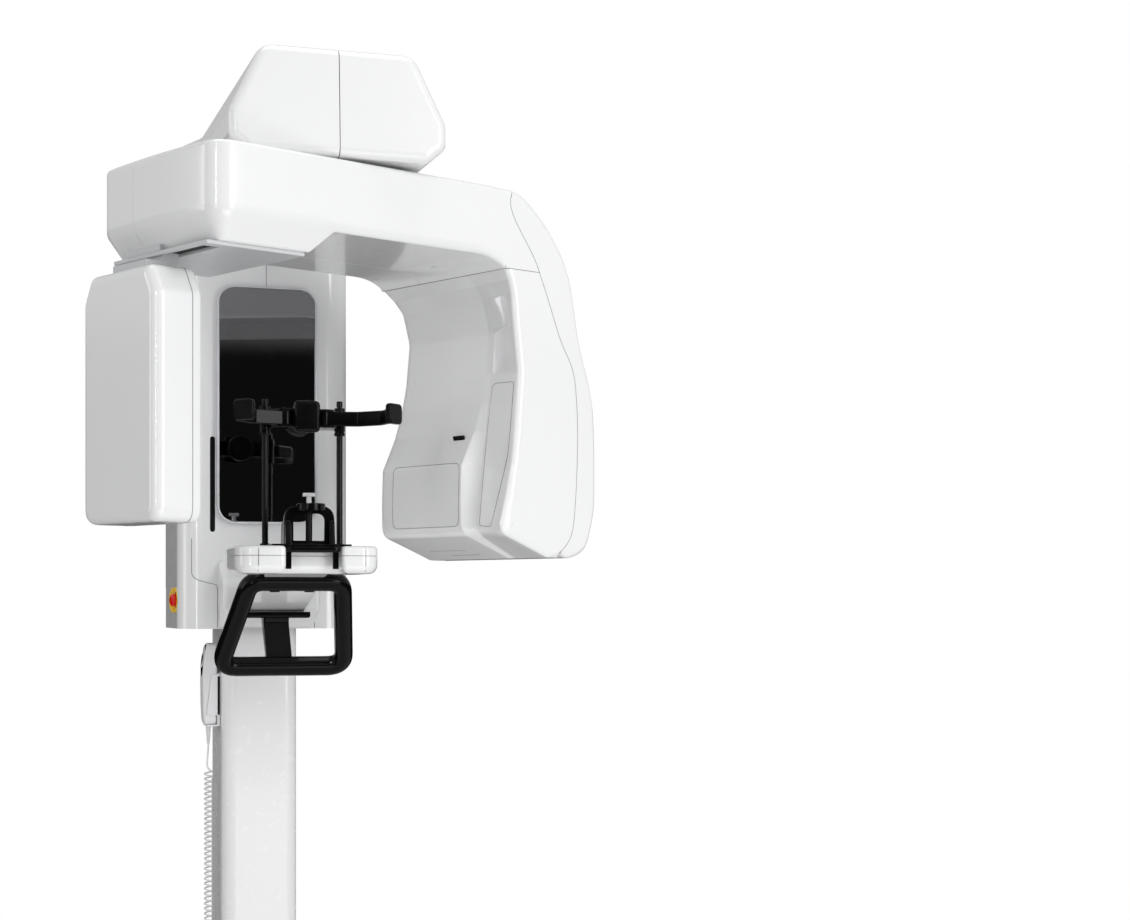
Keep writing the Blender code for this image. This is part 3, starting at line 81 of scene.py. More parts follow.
world = bpy.data.worlds.new("white_studio")
bpy.context.scene.world = world
world.use_nodes = True
sky = world.node_tree
soft_sky = sky.nodes["Background"]
soft_sky.inputs["Color"].default_value = (1.0, 1.0, 1.0, 1.0)
soft_sky.inputs["Strength"].default_value = 0.43
white_sky = sky.nodes.new("ShaderNodeBackground")
white_sky.inputs["Color"].default_value = (1.0, 1.0, 1.0, 1.0)
white_sky.inputs["Strength"].default_value = 1.0
rays = sky.nodes.new("ShaderNodeLightPath")
either = sky.nodes.new("ShaderNodeMath")
either.operation = "MAXIMUM"
sky.links.new(rays.outputs["Is Camera Ray"], either.inputs[0])
sky.links.new(rays.outputs["Is Transmission Ray"], either.inputs[1])
where = sky.nodes.new("ShaderNodeTexCoord")
height = sky.nodes.new("ShaderNodeSeparateXYZ")
horizon = sky.nodes.new("ShaderNodeMapRange")
horizon.interpolation_type = "SMOOTHSTEP"
horizon.inputs["From Min"].default_value = 0.118
horizon.inputs["From Max"].default_value = 0.145
horizon.inputs["To Min"].default_value = 0.014
horizon.inputs["To Max"].default_value = 0.55
reflected_sky = sky.nodes.new("ShaderNodeBackground")
seen_by = sky.nodes.new("ShaderNodeMixShader")
sky.links.new(where.outputs["Generated"], height.inputs["Vector"])
sky.links.new(height.outputs["Z"], horizon.inputs["Value"])
sky.links.new(horizon.outputs["Result"], reflected_sky.inputs["Strength"])
sky.links.new(rays.outputs["Is Glossy Ray"], seen_by.inputs["Fac"])
sky.links.new(soft_sky.outputs[0], seen_by.inputs[1])
sky.links.new(reflected_sky.outputs[0], seen_by.inputs[2])
choice = sky.nodes.new("ShaderNodeMixShader")
sky.links.new(either.outputs[0], choice.inputs["Fac"])
sky.links.new(seen_by.outputs[0], choice.inputs[1])
sky.links.new(white_sky.outputs[0], choice.inputs[2])
sky.links.new(choice.outputs[0], sky.nodes["World Output"].inputs["Surface"])

floor_reach = 2.4
floor_sides = 96
turns = [math.tau * i / floor_sides for i in range(floor_sides)]
rim = [(floor_reach * math.cos(a), floor_reach * math.sin(a), 0.0) for a in turns]
floor_mesh = bpy.data.meshes.new("studio_floor")
floor_mesh.from_pydata(rim, [], [tuple(range(floor_sides))])
floor = bpy.data.objects.new("studio_floor", floor_mesh)
floor.location = (0.0, -0.30, -0.0004)
bpy.context.scene.collection.objects.link(floor)
floor_paint = bpy.data.materials.new("studio_floor")
floor_paint.use_nodes = True
paint = floor_paint.node_tree
matt = paint.nodes["Principled BSDF"]
matt.inputs["Base Color"].default_value = (0.86, 0.86, 0.86, 1.0)
matt.inputs["Roughness"].default_value = 0.9
matt.inputs["Specular IOR Level"].default_value = 0.1
place_on_floor = paint.nodes.new("ShaderNodeTexCoord")
reach = paint.nodes.new("ShaderNodeVectorMath")
reach.operation = "LENGTH"
fade = paint.nodes.new("ShaderNodeMapRange")
fade.interpolation_type = "SMOOTHSTEP"
fade.inputs["From Min"].default_value = 1.1
fade.inputs["From Max"].default_value = floor_reach - 0.05
gone = paint.nodes.new("ShaderNodeBsdfTransparent")
edge_mix = paint.nodes.new("ShaderNodeMixShader")
paint.links.new(place_on_floor.outputs["Object"], reach.inputs[0])
paint.links.new(reach.outputs["Value"], fade.inputs["Value"])
paint.links.new(fade.outputs["Result"], edge_mix.inputs["Fac"])
paint.links.new(matt.outputs[0], edge_mix.inputs[1])
paint.links.new(gone.outputs[0], edge_mix.inputs[2])
paint.links.new(edge_mix.outputs[0], paint.nodes["Material Output"].inputs["Surface"])
floor_mesh.materials.append(floor_paint)


# ---------------------------------------------------------------- handset cord
# The handset's coiled cord: white PVC over four wires, wound hot on a rod so that it springs back.
# It comes out of the handset's strain relief and runs down into the socket box on the column.
def noise_of(material, scale, detail, stretch):
    """A noise texture over the piece's own coordinates, in metres."""
    tree = material.node_tree
    where = tree.nodes.new("ShaderNodeTexCoord")
    stretched = tree.nodes.new("ShaderNodeMapping")
    stretched.inputs["Scale"].default_value = stretch
    noise = tree.nodes.new("ShaderNodeTexNoise")
    noise.inputs["Scale"].default_value = scale
    noise.inputs["Detail"].default_value = detail
    tree.links.new(where.outputs["Object"], stretched.inputs["Vector"])
    tree.links.new(stretched.outputs["Vector"], noise.inputs["Vector"])
    return noise.outputs["Fac"]


def finish(
    name, dark, light, rough, grain, depth, metallic=0.0, coat=0.0, stretch=(1.0, 1.0, 1.0), sheen=0.5
):
    """A material that drifts between two colours and two roughnesses, with a fine surface grain."""
    colour_drift, gloss_drift = 5.0, 35.0
    made = bpy.data.materials.new(name)
    made.use_nodes = True
    tree = made.node_tree
    shader = tree.nodes["Principled BSDF"]
    shader.inputs["Metallic"].default_value = metallic
    shader.inputs["Coat Weight"].default_value = coat
    shader.inputs["Specular IOR Level"].default_value = sheen
    shader.inputs["Coat Roughness"].default_value = 0.05
    tint = tree.nodes.new("ShaderNodeMix")
    tint.data_type = "RGBA"
    tint.inputs["A"].default_value = (*dark, 1.0)
    tint.inputs["B"].default_value = (*light, 1.0)
    tree.links.new(noise_of(made, colour_drift, 3.0, stretch), tint.inputs["Factor"])
    tree.links.new(tint.outputs["Result"], shader.inputs["Base Color"])
    rub = tree.nodes.new("ShaderNodeMapRange")
    rub.inputs["From Min"].default_value = 0.3
    rub.inputs["From Max"].default_value = 0.7
    rub.inputs["To Min"].default_value = rough[0]
    rub.inputs["To Max"].default_value = rough[1]
    tree.links.new(noise_of(made, gloss_drift, 2.0, stretch), rub.inputs["Value"])
    tree.links.new(rub.outputs["Result"], shader.inputs["Roughness"])
    bump = tree.nodes.new("ShaderNodeBump")
    bump.inputs["Strength"].default_value = 0.5
    bump.inputs["Distance"].default_value = depth
    tree.links.new(noise_of(made, grain, 2.0, stretch), bump.inputs["Height"])
    tree.links.new(bump.outputs["Normal"], shader.inputs["Normal"])
    return made


white_vinyl = finish("white_vinyl", (0.70, 0.70, 0.71), (0.77, 0.77, 0.78), (0.34, 0.46), 1400.0, 0.00003)
lead_place = Vector((-0.096, -0.018, 0.0))
lead_radius = 0.00175
coil_radius = 0.00705
coil_pitch = 0.0100
turn_radius = 0.0140
steps_per_coil = 18
bend_step = 0.0008
coiled_from = 0.826
coil_above_socket = 0.0175


def coiled_route(top, straight_to, coil_end, bottom):
    """Down the middle, out to the coil's radius, round it, and down again into the socket."""
    points = [(0.0, 0.0, top - drop) for drop in (0.0, 0.012, 0.028, 0.041)]
    shift_from = top - 0.042
    for i in range(1, 13):
        t = i / 12
        points.append((coil_radius * t * t * (3 - 2 * t), 0.0, shift_from + (straight_to - shift_from) * t))
    slope_end = math.atan2(coil_pitch, math.tau * coil_radius)
    slope, around, height = math.pi / 2, 0.0, straight_to
    while slope < math.pi / 2 + 0.0001 and height > bottom + 0.0005:
        coiling = height > coil_end
        if coiling and slope <= slope_end:
            step = coil_radius * math.tau / steps_per_coil
        else:
            step = bend_step
            bend = step / turn_radius
            slope = max(slope_end, slope - bend) if coiling else min(math.pi / 2, slope + bend)
        around += math.cos(slope) * step / coil_radius
        height -= math.sin(slope) * step
        points.append((coil_radius * math.cos(around), coil_radius * math.sin(around), height))
    x, y, _ = points[-1]
    points.append((x, y, bottom))
    turned = Matrix.Rotation(-math.pi / 2 - math.atan2(y, x), 3, "Z")
    return [tuple(turned @ Vector(p) + lead_place) for p in points]


def cord_curve(name, route, radius, material, body):
    """A round cord along a route, with its ends closed, riding on one body."""
    curve = bpy.data.curves.new(name, "CURVE")
    curve.dimensions = "3D"
    curve.bevel_depth = radius
    curve.bevel_resolution = 3
    curve.use_fill_caps = True
    spline = curve.splines.new("POLY")
    spline.points.add(len(route) - 1)
    for point, place in zip(spline.points, route):
        point.co = (*place, 1.0)
    spline.use_smooth = True
    made = bpy.data.objects.new(name, curve)
    bpy.context.scene.collection.objects.link(made)
    curve.materials.append(material)
    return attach(made, body)


lead_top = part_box("cord_strain_relief")[1].z
socket_low, socket_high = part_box("cord_socket")
lead_route = coiled_route(lead_top, coiled_from, socket_high.z + coil_above_socket, socket_high.z)
handset_cord = cord_curve("handset_coiled_cord", lead_route, lead_radius, white_vinyl, "column")
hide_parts("handset_lead", "handset_curly_cord")

# ---------------------------------------------------------------- carriage harness
# The carriage's power and signal harness: one black jacketed cable that leaves the connector at the
# carriage's back and slides down inside the duct on the column as the carriage moves.
black_jacket = finish(
    "black_jacket", (0.012, 0.012, 0.013), (0.022, 0.022, 0.024), (0.38, 0.52), 1600.0, 0.00005
)
harness_radius = 0.0028
harness_low, harness_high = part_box("harness_cable")
harness_x, harness_y, _ = (harness_low + harness_high) / 2
harness_drop = harness_low.z - harness_high.z
harness_route = [(harness_x, harness_y, harness_high.z + harness_drop * i / 24) for i in range(25)]
harness = cord_curve("carriage_harness", harness_route, harness_radius, black_jacket, "carriage")
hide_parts("harness_cable")


# ---------------------------------------------------------------- base plate and column
# A powder-coated steel plate bolted to the floor, and an extruded aluminium column on it with big
# rounded front corners. The lift's screw drive stands inside, and a cable duct runs up the back.
def smoothing_group():
    """Smooth shading up to an angle, as a node group, which changes no point of the mesh."""
    group = bpy.data.node_groups.new("smooth_by_angle", "GeometryNodeTree")
    group.interface.new_socket("Geometry", in_out="INPUT", socket_type="NodeSocketGeometry")
    group.interface.new_socket("Geometry", in_out="OUTPUT", socket_type="NodeSocketGeometry")
    start = group.nodes.new("NodeGroupInput")
    end = group.nodes.new("NodeGroupOutput")
    faces = group.nodes.new("GeometryNodeSetShadeSmooth")
    edges = group.nodes.new("GeometryNodeSetShadeSmooth")
    edges.domain = "EDGE"
    edges.inputs["Shade Smooth"].default_value = False
    angle = group.nodes.new("GeometryNodeInputMeshEdgeAngle")
    over = group.nodes.new("FunctionNodeCompare")
    over.operation = "GREATER_THAN"
    over.inputs[1].default_value = math.radians(32.0)
    group.links.new(start.outputs[0], faces.inputs["Geometry"])
    group.links.new(faces.outputs[0], edges.inputs["Geometry"])
    group.links.new(angle.outputs["Unsigned Angle"], over.inputs[0])
    group.links.new(over.outputs[0], edges.inputs["Selection"])
    group.links.new(edges.outputs[0], end.inputs[0])
    return group


smooth_by_angle = smoothing_group()


def soften(piece, width, segments=2, angle=35.0):
    """Rounds a piece's edges by that width and shades it smoothly."""
    if width:
        edge = piece.modifiers.new("edges", "BEVEL")
        edge.width = width
        edge.segments = segments
        edge.limit_method = "ANGLE"
        edge.angle_limit = math.radians(angle)
    shade = piece.modifiers.new("shade", "NODES")
    shade.node_group = smooth_by_angle
    even = piece.modifiers.new("even_normals", "WEIGHTED_NORMAL")
    even.keep_sharp = True
    return piece


def carry_over(node, material, width=0.0008, segments=2):
    """Shows a CAD node as it is, with its edges broken and its own finish."""
    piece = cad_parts[node]
    piece.data.materials.clear()
    piece.data.materials.append(material)
    weld = piece.modifiers.new("weld", "WELD")
    weld.merge_threshold = 0.00001
    flat = piece.modifiers.new("flat_faces", "DECIMATE")
    flat.decimate_type = "DISSOLVE"
    flat.angle_limit = math.radians(0.6)
    return soften(piece, width, segments)


floor_plate_paint = finish(
    "floor_plate_paint", (0.66, 0.66, 0.67), (0.72, 0.72, 0.73), (0.38, 0.50), 1100.0, 0.00012
)
column_paint = finish(
    "column_paint", (0.83, 0.83, 0.84), (0.85, 0.85, 0.86), (0.24, 0.28), 1300.0, 0.000004, coat=0.3
)
ground_steel = finish(
    "ground_steel", (0.50, 0.51, 0.53), (0.60, 0.61, 0.63), (0.26, 0.40), 700.0, 0.00005, metallic=1.0
)
carry_over("base_plate", floor_plate_paint, 0.003, 3)
carry_over("column_extrusion", column_paint, 0.0010)
carry_over("rear_cable_duct", column_paint, 0.0004, 1)
carry_over("lift_actuator", ground_steel, 0.0010)
carry_over("lift_ram", ground_steel, 0.0006)


def edge_steps(radius, steps):
    """(drop, inset) pairs round a quarter edge, from the flat face to the side."""
    angles = [math.pi / 2 * i / steps for i in range(steps + 1)]
    return [(radius * (1 - math.cos(a)), radius * (1 - math.sin(a))) for a in angles]


def inset(ring, distance, weights=None):
    """A closed outline moved towards its own inside, each corner along its bisector."""
    area = sum(a[0] * b[1] - b[0] * a[1] for a, b in zip(ring, ring[1:] + ring[:1]))
    inward = math.copysign(distance, area)
    moved = []
    for i, (x, y) in enumerate(ring):
        before, after = ring[i - 1], ring[(i + 1) % len(ring)]
        first = math.atan2(y - before[1], x - before[0])
        second = math.atan2(after[1] - y, after[0] - x)
        half = (second - first + math.pi) % math.tau / 2 - math.pi / 2
        reach = inward / max(math.cos(half), 0.5) * (weights[i] if weights else 1.0)
        normal = first + half + math.pi / 2
        moved.append((x + reach * math.cos(normal), y + reach * math.sin(normal)))
    return moved


def rounded(outline, steps=8):
    """A closed outline of (x, y, radius) corners, with each corner drawn as a smooth bend."""
    drawn = []
    for i, (x, y, radius) in enumerate(outline):
        here = Vector((x, y))
        back = Vector(outline[i - 1][:2]) - here
        ahead = Vector(outline[(i + 1) % len(outline)][:2]) - here
        if radius <= 0.0:
            drawn.append((x, y))
            continue
        reach = radius / math.tan(back.angle(ahead) / 2)
        start = here + back.normalized() * min(reach, 0.49 * back.length)
        end = here + ahead.normalized() * min(reach, 0.49 * ahead.length)
        for k in range(steps + 1):
            t = k / steps
            drawn.append(tuple((1 - t) ** 2 * start + 2 * t * (1 - t) * here + t * t * end))
    return drawn


def shrunk(outline, distance, steps=6):
    """A closed outline of (x, y, radius) corners moved inwards, with each bend's radius following."""
    least_radius = 0.0003
    turning = sum(one[0] * two[1] - two[0] * one[1] for one, two in zip(outline, outline[1:] + outline[:1]))
    moved = []
    for i, (x, y) in enumerate(inset([corner[:2] for corner in outline], distance)):
        before, here, after = outline[i - 1], outline[i], outline[(i + 1) % len(outline)]
        turn = (here[0] - before[0]) * (after[1] - here[1]) - (here[1] - before[1]) * (after[0] - here[0])
        radius = here[2] - math.copysign(distance, turn * turning)
        moved.append((x, y, max(radius, least_radius)))
    return rounded(moved, steps)


def skin(name, rings, place=Matrix.Identity(4), closed=False):
    """A closed skin over rings of equal point count, capped at both ends."""
    made = bmesh.new()
    rows = [[made.verts.new(place @ Vector(point)) for point in ring] for ring in rings]
    count = len(rows[0])
    following = rows[1:] + rows[:1] if closed else rows[1:]
    for row, other in zip(rows, following):
        for i in range(count):
            j = (i + 1) % count
            made.faces.new((row[i], row[j], other[j], other[i]))
    if not closed:
        made.faces.new(rows[0][::-1])
        made.faces.new(rows[-1])
    bmesh.ops.remove_doubles(made, verts=made.verts, dist=0.000002)
    bmesh.ops.recalc_face_normals(made, faces=made.faces)
    mesh = bpy.data.meshes.new(name)
    made.to_mesh(mesh)
    made.free()
    return mesh


def fit(name, mesh, material, body, nodes=(), rounding=(0.0, 2, 35.0)):
    """Puts a made piece on its body, with its finish, in place of the CAD nodes it stands for.

    Its rounding is its edges' width, segments and least angle. A small flat piece has none.
    """
    piece = bpy.data.objects.new(name, mesh)
    bpy.context.scene.collection.objects.link(piece)
    mesh.materials.append(material)
    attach(piece, body)
    if nodes:
        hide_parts(*nodes)
    if rounding:
        soften(piece, *rounding)


# The three ways an outline is drawn out: upwards, across the machine, or towards the patient.
LYING = Matrix.Identity(4)
SIDEWAYS = Matrix(((0, 0, 1, 0), (1, 0, 0, 0), (0, 1, 0, 0), (0, 0, 0, 1)))
FACING = Matrix(((1, 0, 0, 0), (0, 0, -1, 0), (0, 1, 0, 0), (0, 0, 0, 1)))


def slab(name, outline, low, high, low_edge, high_edge, way=LYING, steps=4, bend=6):
    """An outline of (x, y, radius) corners drawn out from low to high, with its two edges rounded."""
    rings = []
    for drop, shrink in edge_steps(low_edge, steps):
        rings.append([(x, y, low + drop) for x, y in shrunk(outline, shrink, bend)])
    for drop, shrink in reversed(edge_steps(high_edge, steps)):
        rings.append([(x, y, high - drop) for x, y in shrunk(outline, shrink, bend)])
    return skin(name, rings, way)


def lathe(name, profile, place=LYING, sides=48):
    """A profile of (radius, height) points, closed on its own axis or as a ring, turned about Z."""
    turns = [math.tau * i / sides for i in range(sides)]
    rings = [[(r * math.cos(a), r * math.sin(a), z) for r, z in profile] for a in turns]
    return skin(name, rings, place, closed=True)


def joined(name, meshes):
    """One mesh of several, for pieces that are moulded, welded or screwed together."""
    whole = bmesh.new()
    for mesh in meshes:
        whole.from_mesh(mesh)
    made = bpy.data.meshes.new(name)
    whole.to_mesh(made)
    whole.free()
    return made


bolt_radius = 0.009
plate_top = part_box("base_plate")[1].z
bolts = []
for x, y in ((-0.29, -0.70), (0.29, -0.70), (-0.29, 0.12), (0.29, 0.12), (-0.29, -0.29), (0.29, -0.29)):
    head = [(0.0, 0.0052), (0.0042, 0.0052), (0.0042, 0.0022), (0.0056, 0.0022), (0.0056, 0.0052)]
    head += [(bolt_radius - 0.0012, 0.0050), (bolt_radius, 0.0030), (bolt_radius, -0.003), (0.0, -0.003)]
    bolts.append(lathe("bolt", head, Matrix.Translation((x, y, plate_top)), 24))
fit("floor_bolts", joined("floor_bolts", bolts), ground_steel, "column")

# ---------------------------------------------------------------- handset, holder and socket
# The exposure handset: a two-piece white moulding with a black key panel let into its top, a big
# round exposure key and a small lamp. It rests in a moulded holder screwed to the column's side.
white_moulding = finish(
    "white_moulding", (0.80, 0.80, 0.81), (0.84, 0.84, 0.85), (0.28, 0.38), 1500.0, 0.00002
)
grey_moulding = finish("grey_moulding", (0.60, 0.61, 0.62), (0.65, 0.66, 0.67), (0.32, 0.42), 1200.0, 0.00006)
gloss_black = finish(
    "gloss_black",
    (0.0020, 0.0020, 0.0023),
    (0.0032, 0.0032, 0.0036),
    (0.13, 0.20),
    700.0,
    0.000006,
    sheen=0.16,
)
satin_black = finish(
    "satin_black",
    (0.0032, 0.0032, 0.0036),
    (0.0060, 0.0060, 0.0066),
    (0.28, 0.40),
    1500.0,
    0.00003,
    sheen=0.2,
)
hand_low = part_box("handset_body")[0]
hand_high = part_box("handset_key_panel")[1]
hand_y = (hand_low.y + hand_high.y) / 2
front_x = hand_low.x


def oblong(x, y, far_x, far_y, *radii):
    """The four corners of a rectangle, with one radius for all of them or a radius for each."""
    radii = radii if len(radii) == 4 else radii * 4
    return [(x, y, radii[0]), (far_x, y, radii[1]), (far_x, far_y, radii[2]), (x, far_y, radii[3])]


# Height above the lower end, half the width, and how far the front stands back.
hand_sections = (
    (0.000, 0.0170, 0.0060),
    (0.003, 0.0195, 0.0035),
    (0.010, 0.0210, 0.0020),
    (0.040, 0.0217, 0.0006),
    (0.090, 0.0224, 0.0),
    (0.118, 0.0225, 0.0012),
    (0.142, 0.0225, 0.0048),
    (0.154, 0.0212, 0.0074),
    (0.160, 0.0180, 0.0096),
    (0.162, 0.0140, 0.0120),
)
full_width = 0.0225
back_taper = 0.35
rings = []
for height, width, face in hand_sections:
    back_x = hand_high.x - back_taper * max(0.0, full_width - width)
    bounds = (front_x + face, hand_y - width, back_x, hand_y + width)
    outline = rounded(oblong(*bounds, 0.006, 0.004, 0.004, 0.006), 5)
    rings.append([(x, y, hand_low.z + height) for x, y in outline])
shell = skin("handset_shell", rings)
fit("handset_shell", shell, white_moulding, "column", ("handset_body",))


def between(table, at):
    """The value of a table of (place, value) pairs at one place."""
    for (a, low), (b, high) in zip(table, table[1:]):
        if at <= b:
            return low + (high - low) * max(0.0, (at - a) / (b - a))
    return table[-1][1]


front_lean = [(height, face) for height, _, face in hand_sections[4:9]]
panel_shape = [(-0.0165, 0.159, 0.012), (0.0165, 0.159, 0.012), (0.0170, 0.112, 0.020)]
panel_shape += [(0.0, 0.089, 0.014), (-0.0170, 0.112, 0.020)]
panel_shape = rounded(panel_shape, 8)
rings = []
for lift, shrink in ((-0.0030, 0.0), (0.0, 0.0), (0.0004, 0.0006)):
    shape = inset(panel_shape, shrink)
    rings.append([(front_x + between(front_lean, z) - lift, hand_y + y, hand_low.z + z) for y, z in shape])
inlay = skin("key_panel_inlay", rings)
fit("key_panel_inlay", inlay, gloss_black, "column", ("handset_key_panel",))

key_low, key_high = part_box("exposure_button")
_, _, key_height = (key_low + key_high) / 2
key_lean = 0.13
lean = Matrix.Rotation(key_lean - math.pi / 2, 4, "Y")
key_place = Matrix.Translation((front_x + 0.0032, hand_y, key_height)) @ lean
ring = [(0.0112, -0.002), (0.0112, 0.0014), (0.0120, 0.0019), (0.0132, 0.0014), (0.0132, -0.002)]
fit("exposure_key_ring", lathe("key_ring", ring, key_place), grey_moulding, "column")
cap = [(0.0, 0.0005), (0.0060, 0.0008), (0.0098, 0.0019), (0.0106, 0.0012), (0.0106, -0.004), (0.0, -0.004)]
key_cap = lathe("key_cap", cap, key_place)
fit("exposure_key", key_cap, satin_black, "exposure_button", ("exposure_button",))
lamp_place = Matrix.Translation((front_x + 0.0058, hand_y, key_height + 0.0175)) @ lean
lamp_lens = finish("lamp_lens", (0.55, 0.57, 0.58), (0.62, 0.64, 0.66), (0.10, 0.18), 900.0, 0.00003)
lamp = lathe("lamp", [(0.0, 0.0016), (0.0010, 0.0013), (0.0014, 0.0), (0.0, 0.0)], lamp_place, 16)
fit("handset_lamp", lamp, lamp_lens, "column")

relief_low, relief_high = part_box("cord_strain_relief")
relief_x, relief_y = (relief_low.x + relief_high.x) / 2, (relief_low.y + relief_high.y) / 2
relief_place = Matrix.Translation((relief_x, relief_y, relief_high.z))
relief_length = relief_high.z - relief_low.z
bore = 0.0019
ribs, ribbed_length = 8, relief_length - 0.008
profile = [(bore, 0.0), (0.0055, 0.0), (0.0055, -0.006)]
for i in range(ribs):
    top = -0.007 - ribbed_length * i / ribs
    bottom = -0.007 - ribbed_length * (i + 0.62) / ribs
    size = 0.0052 - 0.0021 * i / ribs
    profile += [(size, top), (size - 0.0001, bottom)]
    profile += [(size - 0.0009, bottom - 0.0003), (size - 0.0009, bottom - 0.0012)]
profile += [(0.0026, -relief_length), (bore, -relief_length)]
boot = lathe("strain_relief_boot", profile, relief_place, 24)
fit("strain_relief_boot", boot, white_vinyl, "column", ("cord_strain_relief",))

holder_low, holder_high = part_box("handset_holder")
plate = oblong(holder_low.y, holder_low.z, holder_high.y, holder_high.z, 0.005)
holder = slab("handset_holder", plate, holder_low.x, holder_high.x, 0.0015, 0.0004, SIDEWAYS)
fit("holder_plate", holder, grey_moulding, "column", ("handset_holder",))
cradle = []
cheek_low, cheek_high = 0.926, 1.008
cheek = [(front_x + 0.007, cheek_low, 0.006), (holder_high.x, cheek_low, 0.003)]
cheek += [(holder_high.x, cheek_high, 0.003), (front_x + 0.017, cheek_high, 0.006)]
for way in (-1, 1):
    turned_up = Matrix.Translation((0.0, hand_y + way * 0.0242, 0.0)) @ FACING
    cradle.append(slab("cheek", cheek, -0.0011, 0.0011, 0.0006, 0.0006, turned_up, 2))
foot = oblong(front_x + 0.007, 0.0075, holder_high.x, 0.0253, 0.001, 0.001, 0.002, 0.004)
for way in (-1, 1):
    shape = [(x, hand_y + way * y, r) for x, y, r in foot]
    cradle.append(slab("foot", shape, 0.9040, 0.9072, 0.0006, 0.0006, LYING, 2))
back_rest = oblong(hand_y - 0.0253, 0.904, hand_y + 0.0253, 1.010, 0.003, 0.003, 0.006, 0.006)
back_x = (hand_high.x + 0.0003, holder_high.x - 0.0006)
cradle.append(slab("back_rest", back_rest, *back_x, 0.0006, 0.0003, SIDEWAYS, 2))
fit("handset_cradle", joined("handset_cradle", cradle), white_moulding, "column")

box_face = oblong(socket_low.y, socket_low.z, socket_high.y, socket_high.z, 0.005)
socket = slab("cord_socket", box_face, socket_low.x, socket_high.x, 0.0035, 0.0002, SIDEWAYS)
fit("socket_box", socket, white_moulding, "column", ("cord_socket",))

# ---------------------------------------------------------------- carriage frame and covers
# A steel frame slides on the column on black liners, hung from the lift's ram. A deep white shell
# covers its front and sides, a narrower one its back, and a low cover carries the table's arm.
# Heights on the carriage are counted from the level of the emergency stops.
level = 1.156
carriage_side = 0.168
carriage_front = -0.141
corner_radius = 0.050
white_shell = finish(
    "white_shell", (0.84, 0.843, 0.848), (0.87, 0.873, 0.878), (0.16, 0.22), 420.0, 0.000010, coat=0.5
)
seam_shadow = finish("seam_shadow", (0.15, 0.15, 0.155), (0.22, 0.22, 0.225), (0.60, 0.75), 900.0, 0.00004)
carry_over("guide_liner", satin_black, 0.0004, 1)
carry_over("carriage_frame", ground_steel, 0.0006, 1)
carry_over("rear_connector", satin_black, 0.0006)
carry_over("carriage_front_cover", white_shell, 0.0016, 3)
carry_over("carriage_rear_cover", white_shell, 0.0012)
carry_over("carriage_lower_cover", white_shell, 0.0040, 4)


def seam_line(name, routes, body, radius=0.0006, place=Matrix.Identity(4)):
    """The dark line of a joint between two shells: a thin strip sunk halfway into their surface."""
    curve = bpy.data.curves.new(name, "CURVE")
    curve.dimensions = "3D"
    curve.bevel_depth = radius
    curve.bevel_resolution = 1
    curve.use_fill_caps = True
    for route in routes:
        spline = curve.splines.new("POLY")
        spline.points.add(len(route) - 1)
        for point, where in zip(spline.points, route):
            point.co = (*(place @ Vector(where)), 1.0)
    made = bpy.data.objects.new(name, curve)
    bpy.context.scene.collection.objects.link(made)
    curve.materials.append(seam_shadow)
    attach(made, body)
    return made


def carriage_face(x):
    """The carriage's front surface at one distance from its middle."""
    over = max(0.0, abs(x) - (carriage_side - corner_radius))
    return carriage_front + corner_radius - math.sqrt(max(0.0, corner_radius**2 - over**2))


def flowing(t, p, q, r, s):
    """A value that flows from q to r as t goes from 0 to 1, coming from p and going on to s."""
    return 0.5 * (2 * q + (r - p) * t + (2 * p - 5 * q + 4 * r - s) * t * t + (3 * q - p - 3 * r + s) * t**3)


def smooth_route(points, steps=8):
    """A flowing line through a few points."""
    ends = [points[0], *points, points[-1]]
    drawn = []
    for a, b, c, d in zip(ends, ends[1:], ends[2:], ends[3:]):
        for k in range(steps):
            t = k / steps
            drawn.append(tuple(flowing(t, *four) for four in zip(a, b, c, d)))
    return drawn + [points[-1]]


skirt = [(0.1445, 0.120), (0.1445, 0.070), (0.1435, 0.050), (0.134, 0.040), (0.115, 0.034)]
skirt += [(0.100, 0.030), (0.0955, 0.020), (0.0955, -0.054)]
mirror_top, cover_top = level + 0.616, level + 0.7145
routes = [[(0.0, carriage_front, mirror_top), (0.0, carriage_front, cover_top)]]
for way in (-1, 1):
    routes.append([(way * x, carriage_face(x), level + h) for x, h in smooth_route(skirt)])
seam_line("carriage_seams", routes, "carriage")

# ---------------------------------------------------------------- mirror and alignment light
# The patient watches this smoked mirror to stand straight. It is bedded in a thin satin frame, and
# a strip window beside it lets out the alignment light.
smoked_mirror = finish(
    "smoked_mirror", (0.30, 0.30, 0.31), (0.33, 0.33, 0.34), (0.015, 0.03), 60.0, 0.000005, metallic=1.0
)
dark_window = finish(
    "dark_window", (0.008, 0.008, 0.009), (0.013, 0.013, 0.014), (0.06, 0.10), 300.0, 0.00002
)
satin_frame = finish(
    "satin_frame", (0.66, 0.67, 0.69), (0.74, 0.75, 0.77), (0.30, 0.40), 1200.0, 0.000006, metallic=0.7
)
carry_over("mirror_bezel", satin_frame, 0.0012, 3)
carry_over("mirror_glass", smoked_mirror, 0.0006, 2)
carry_over("alignment_light", dark_window, 0.0004, 1)

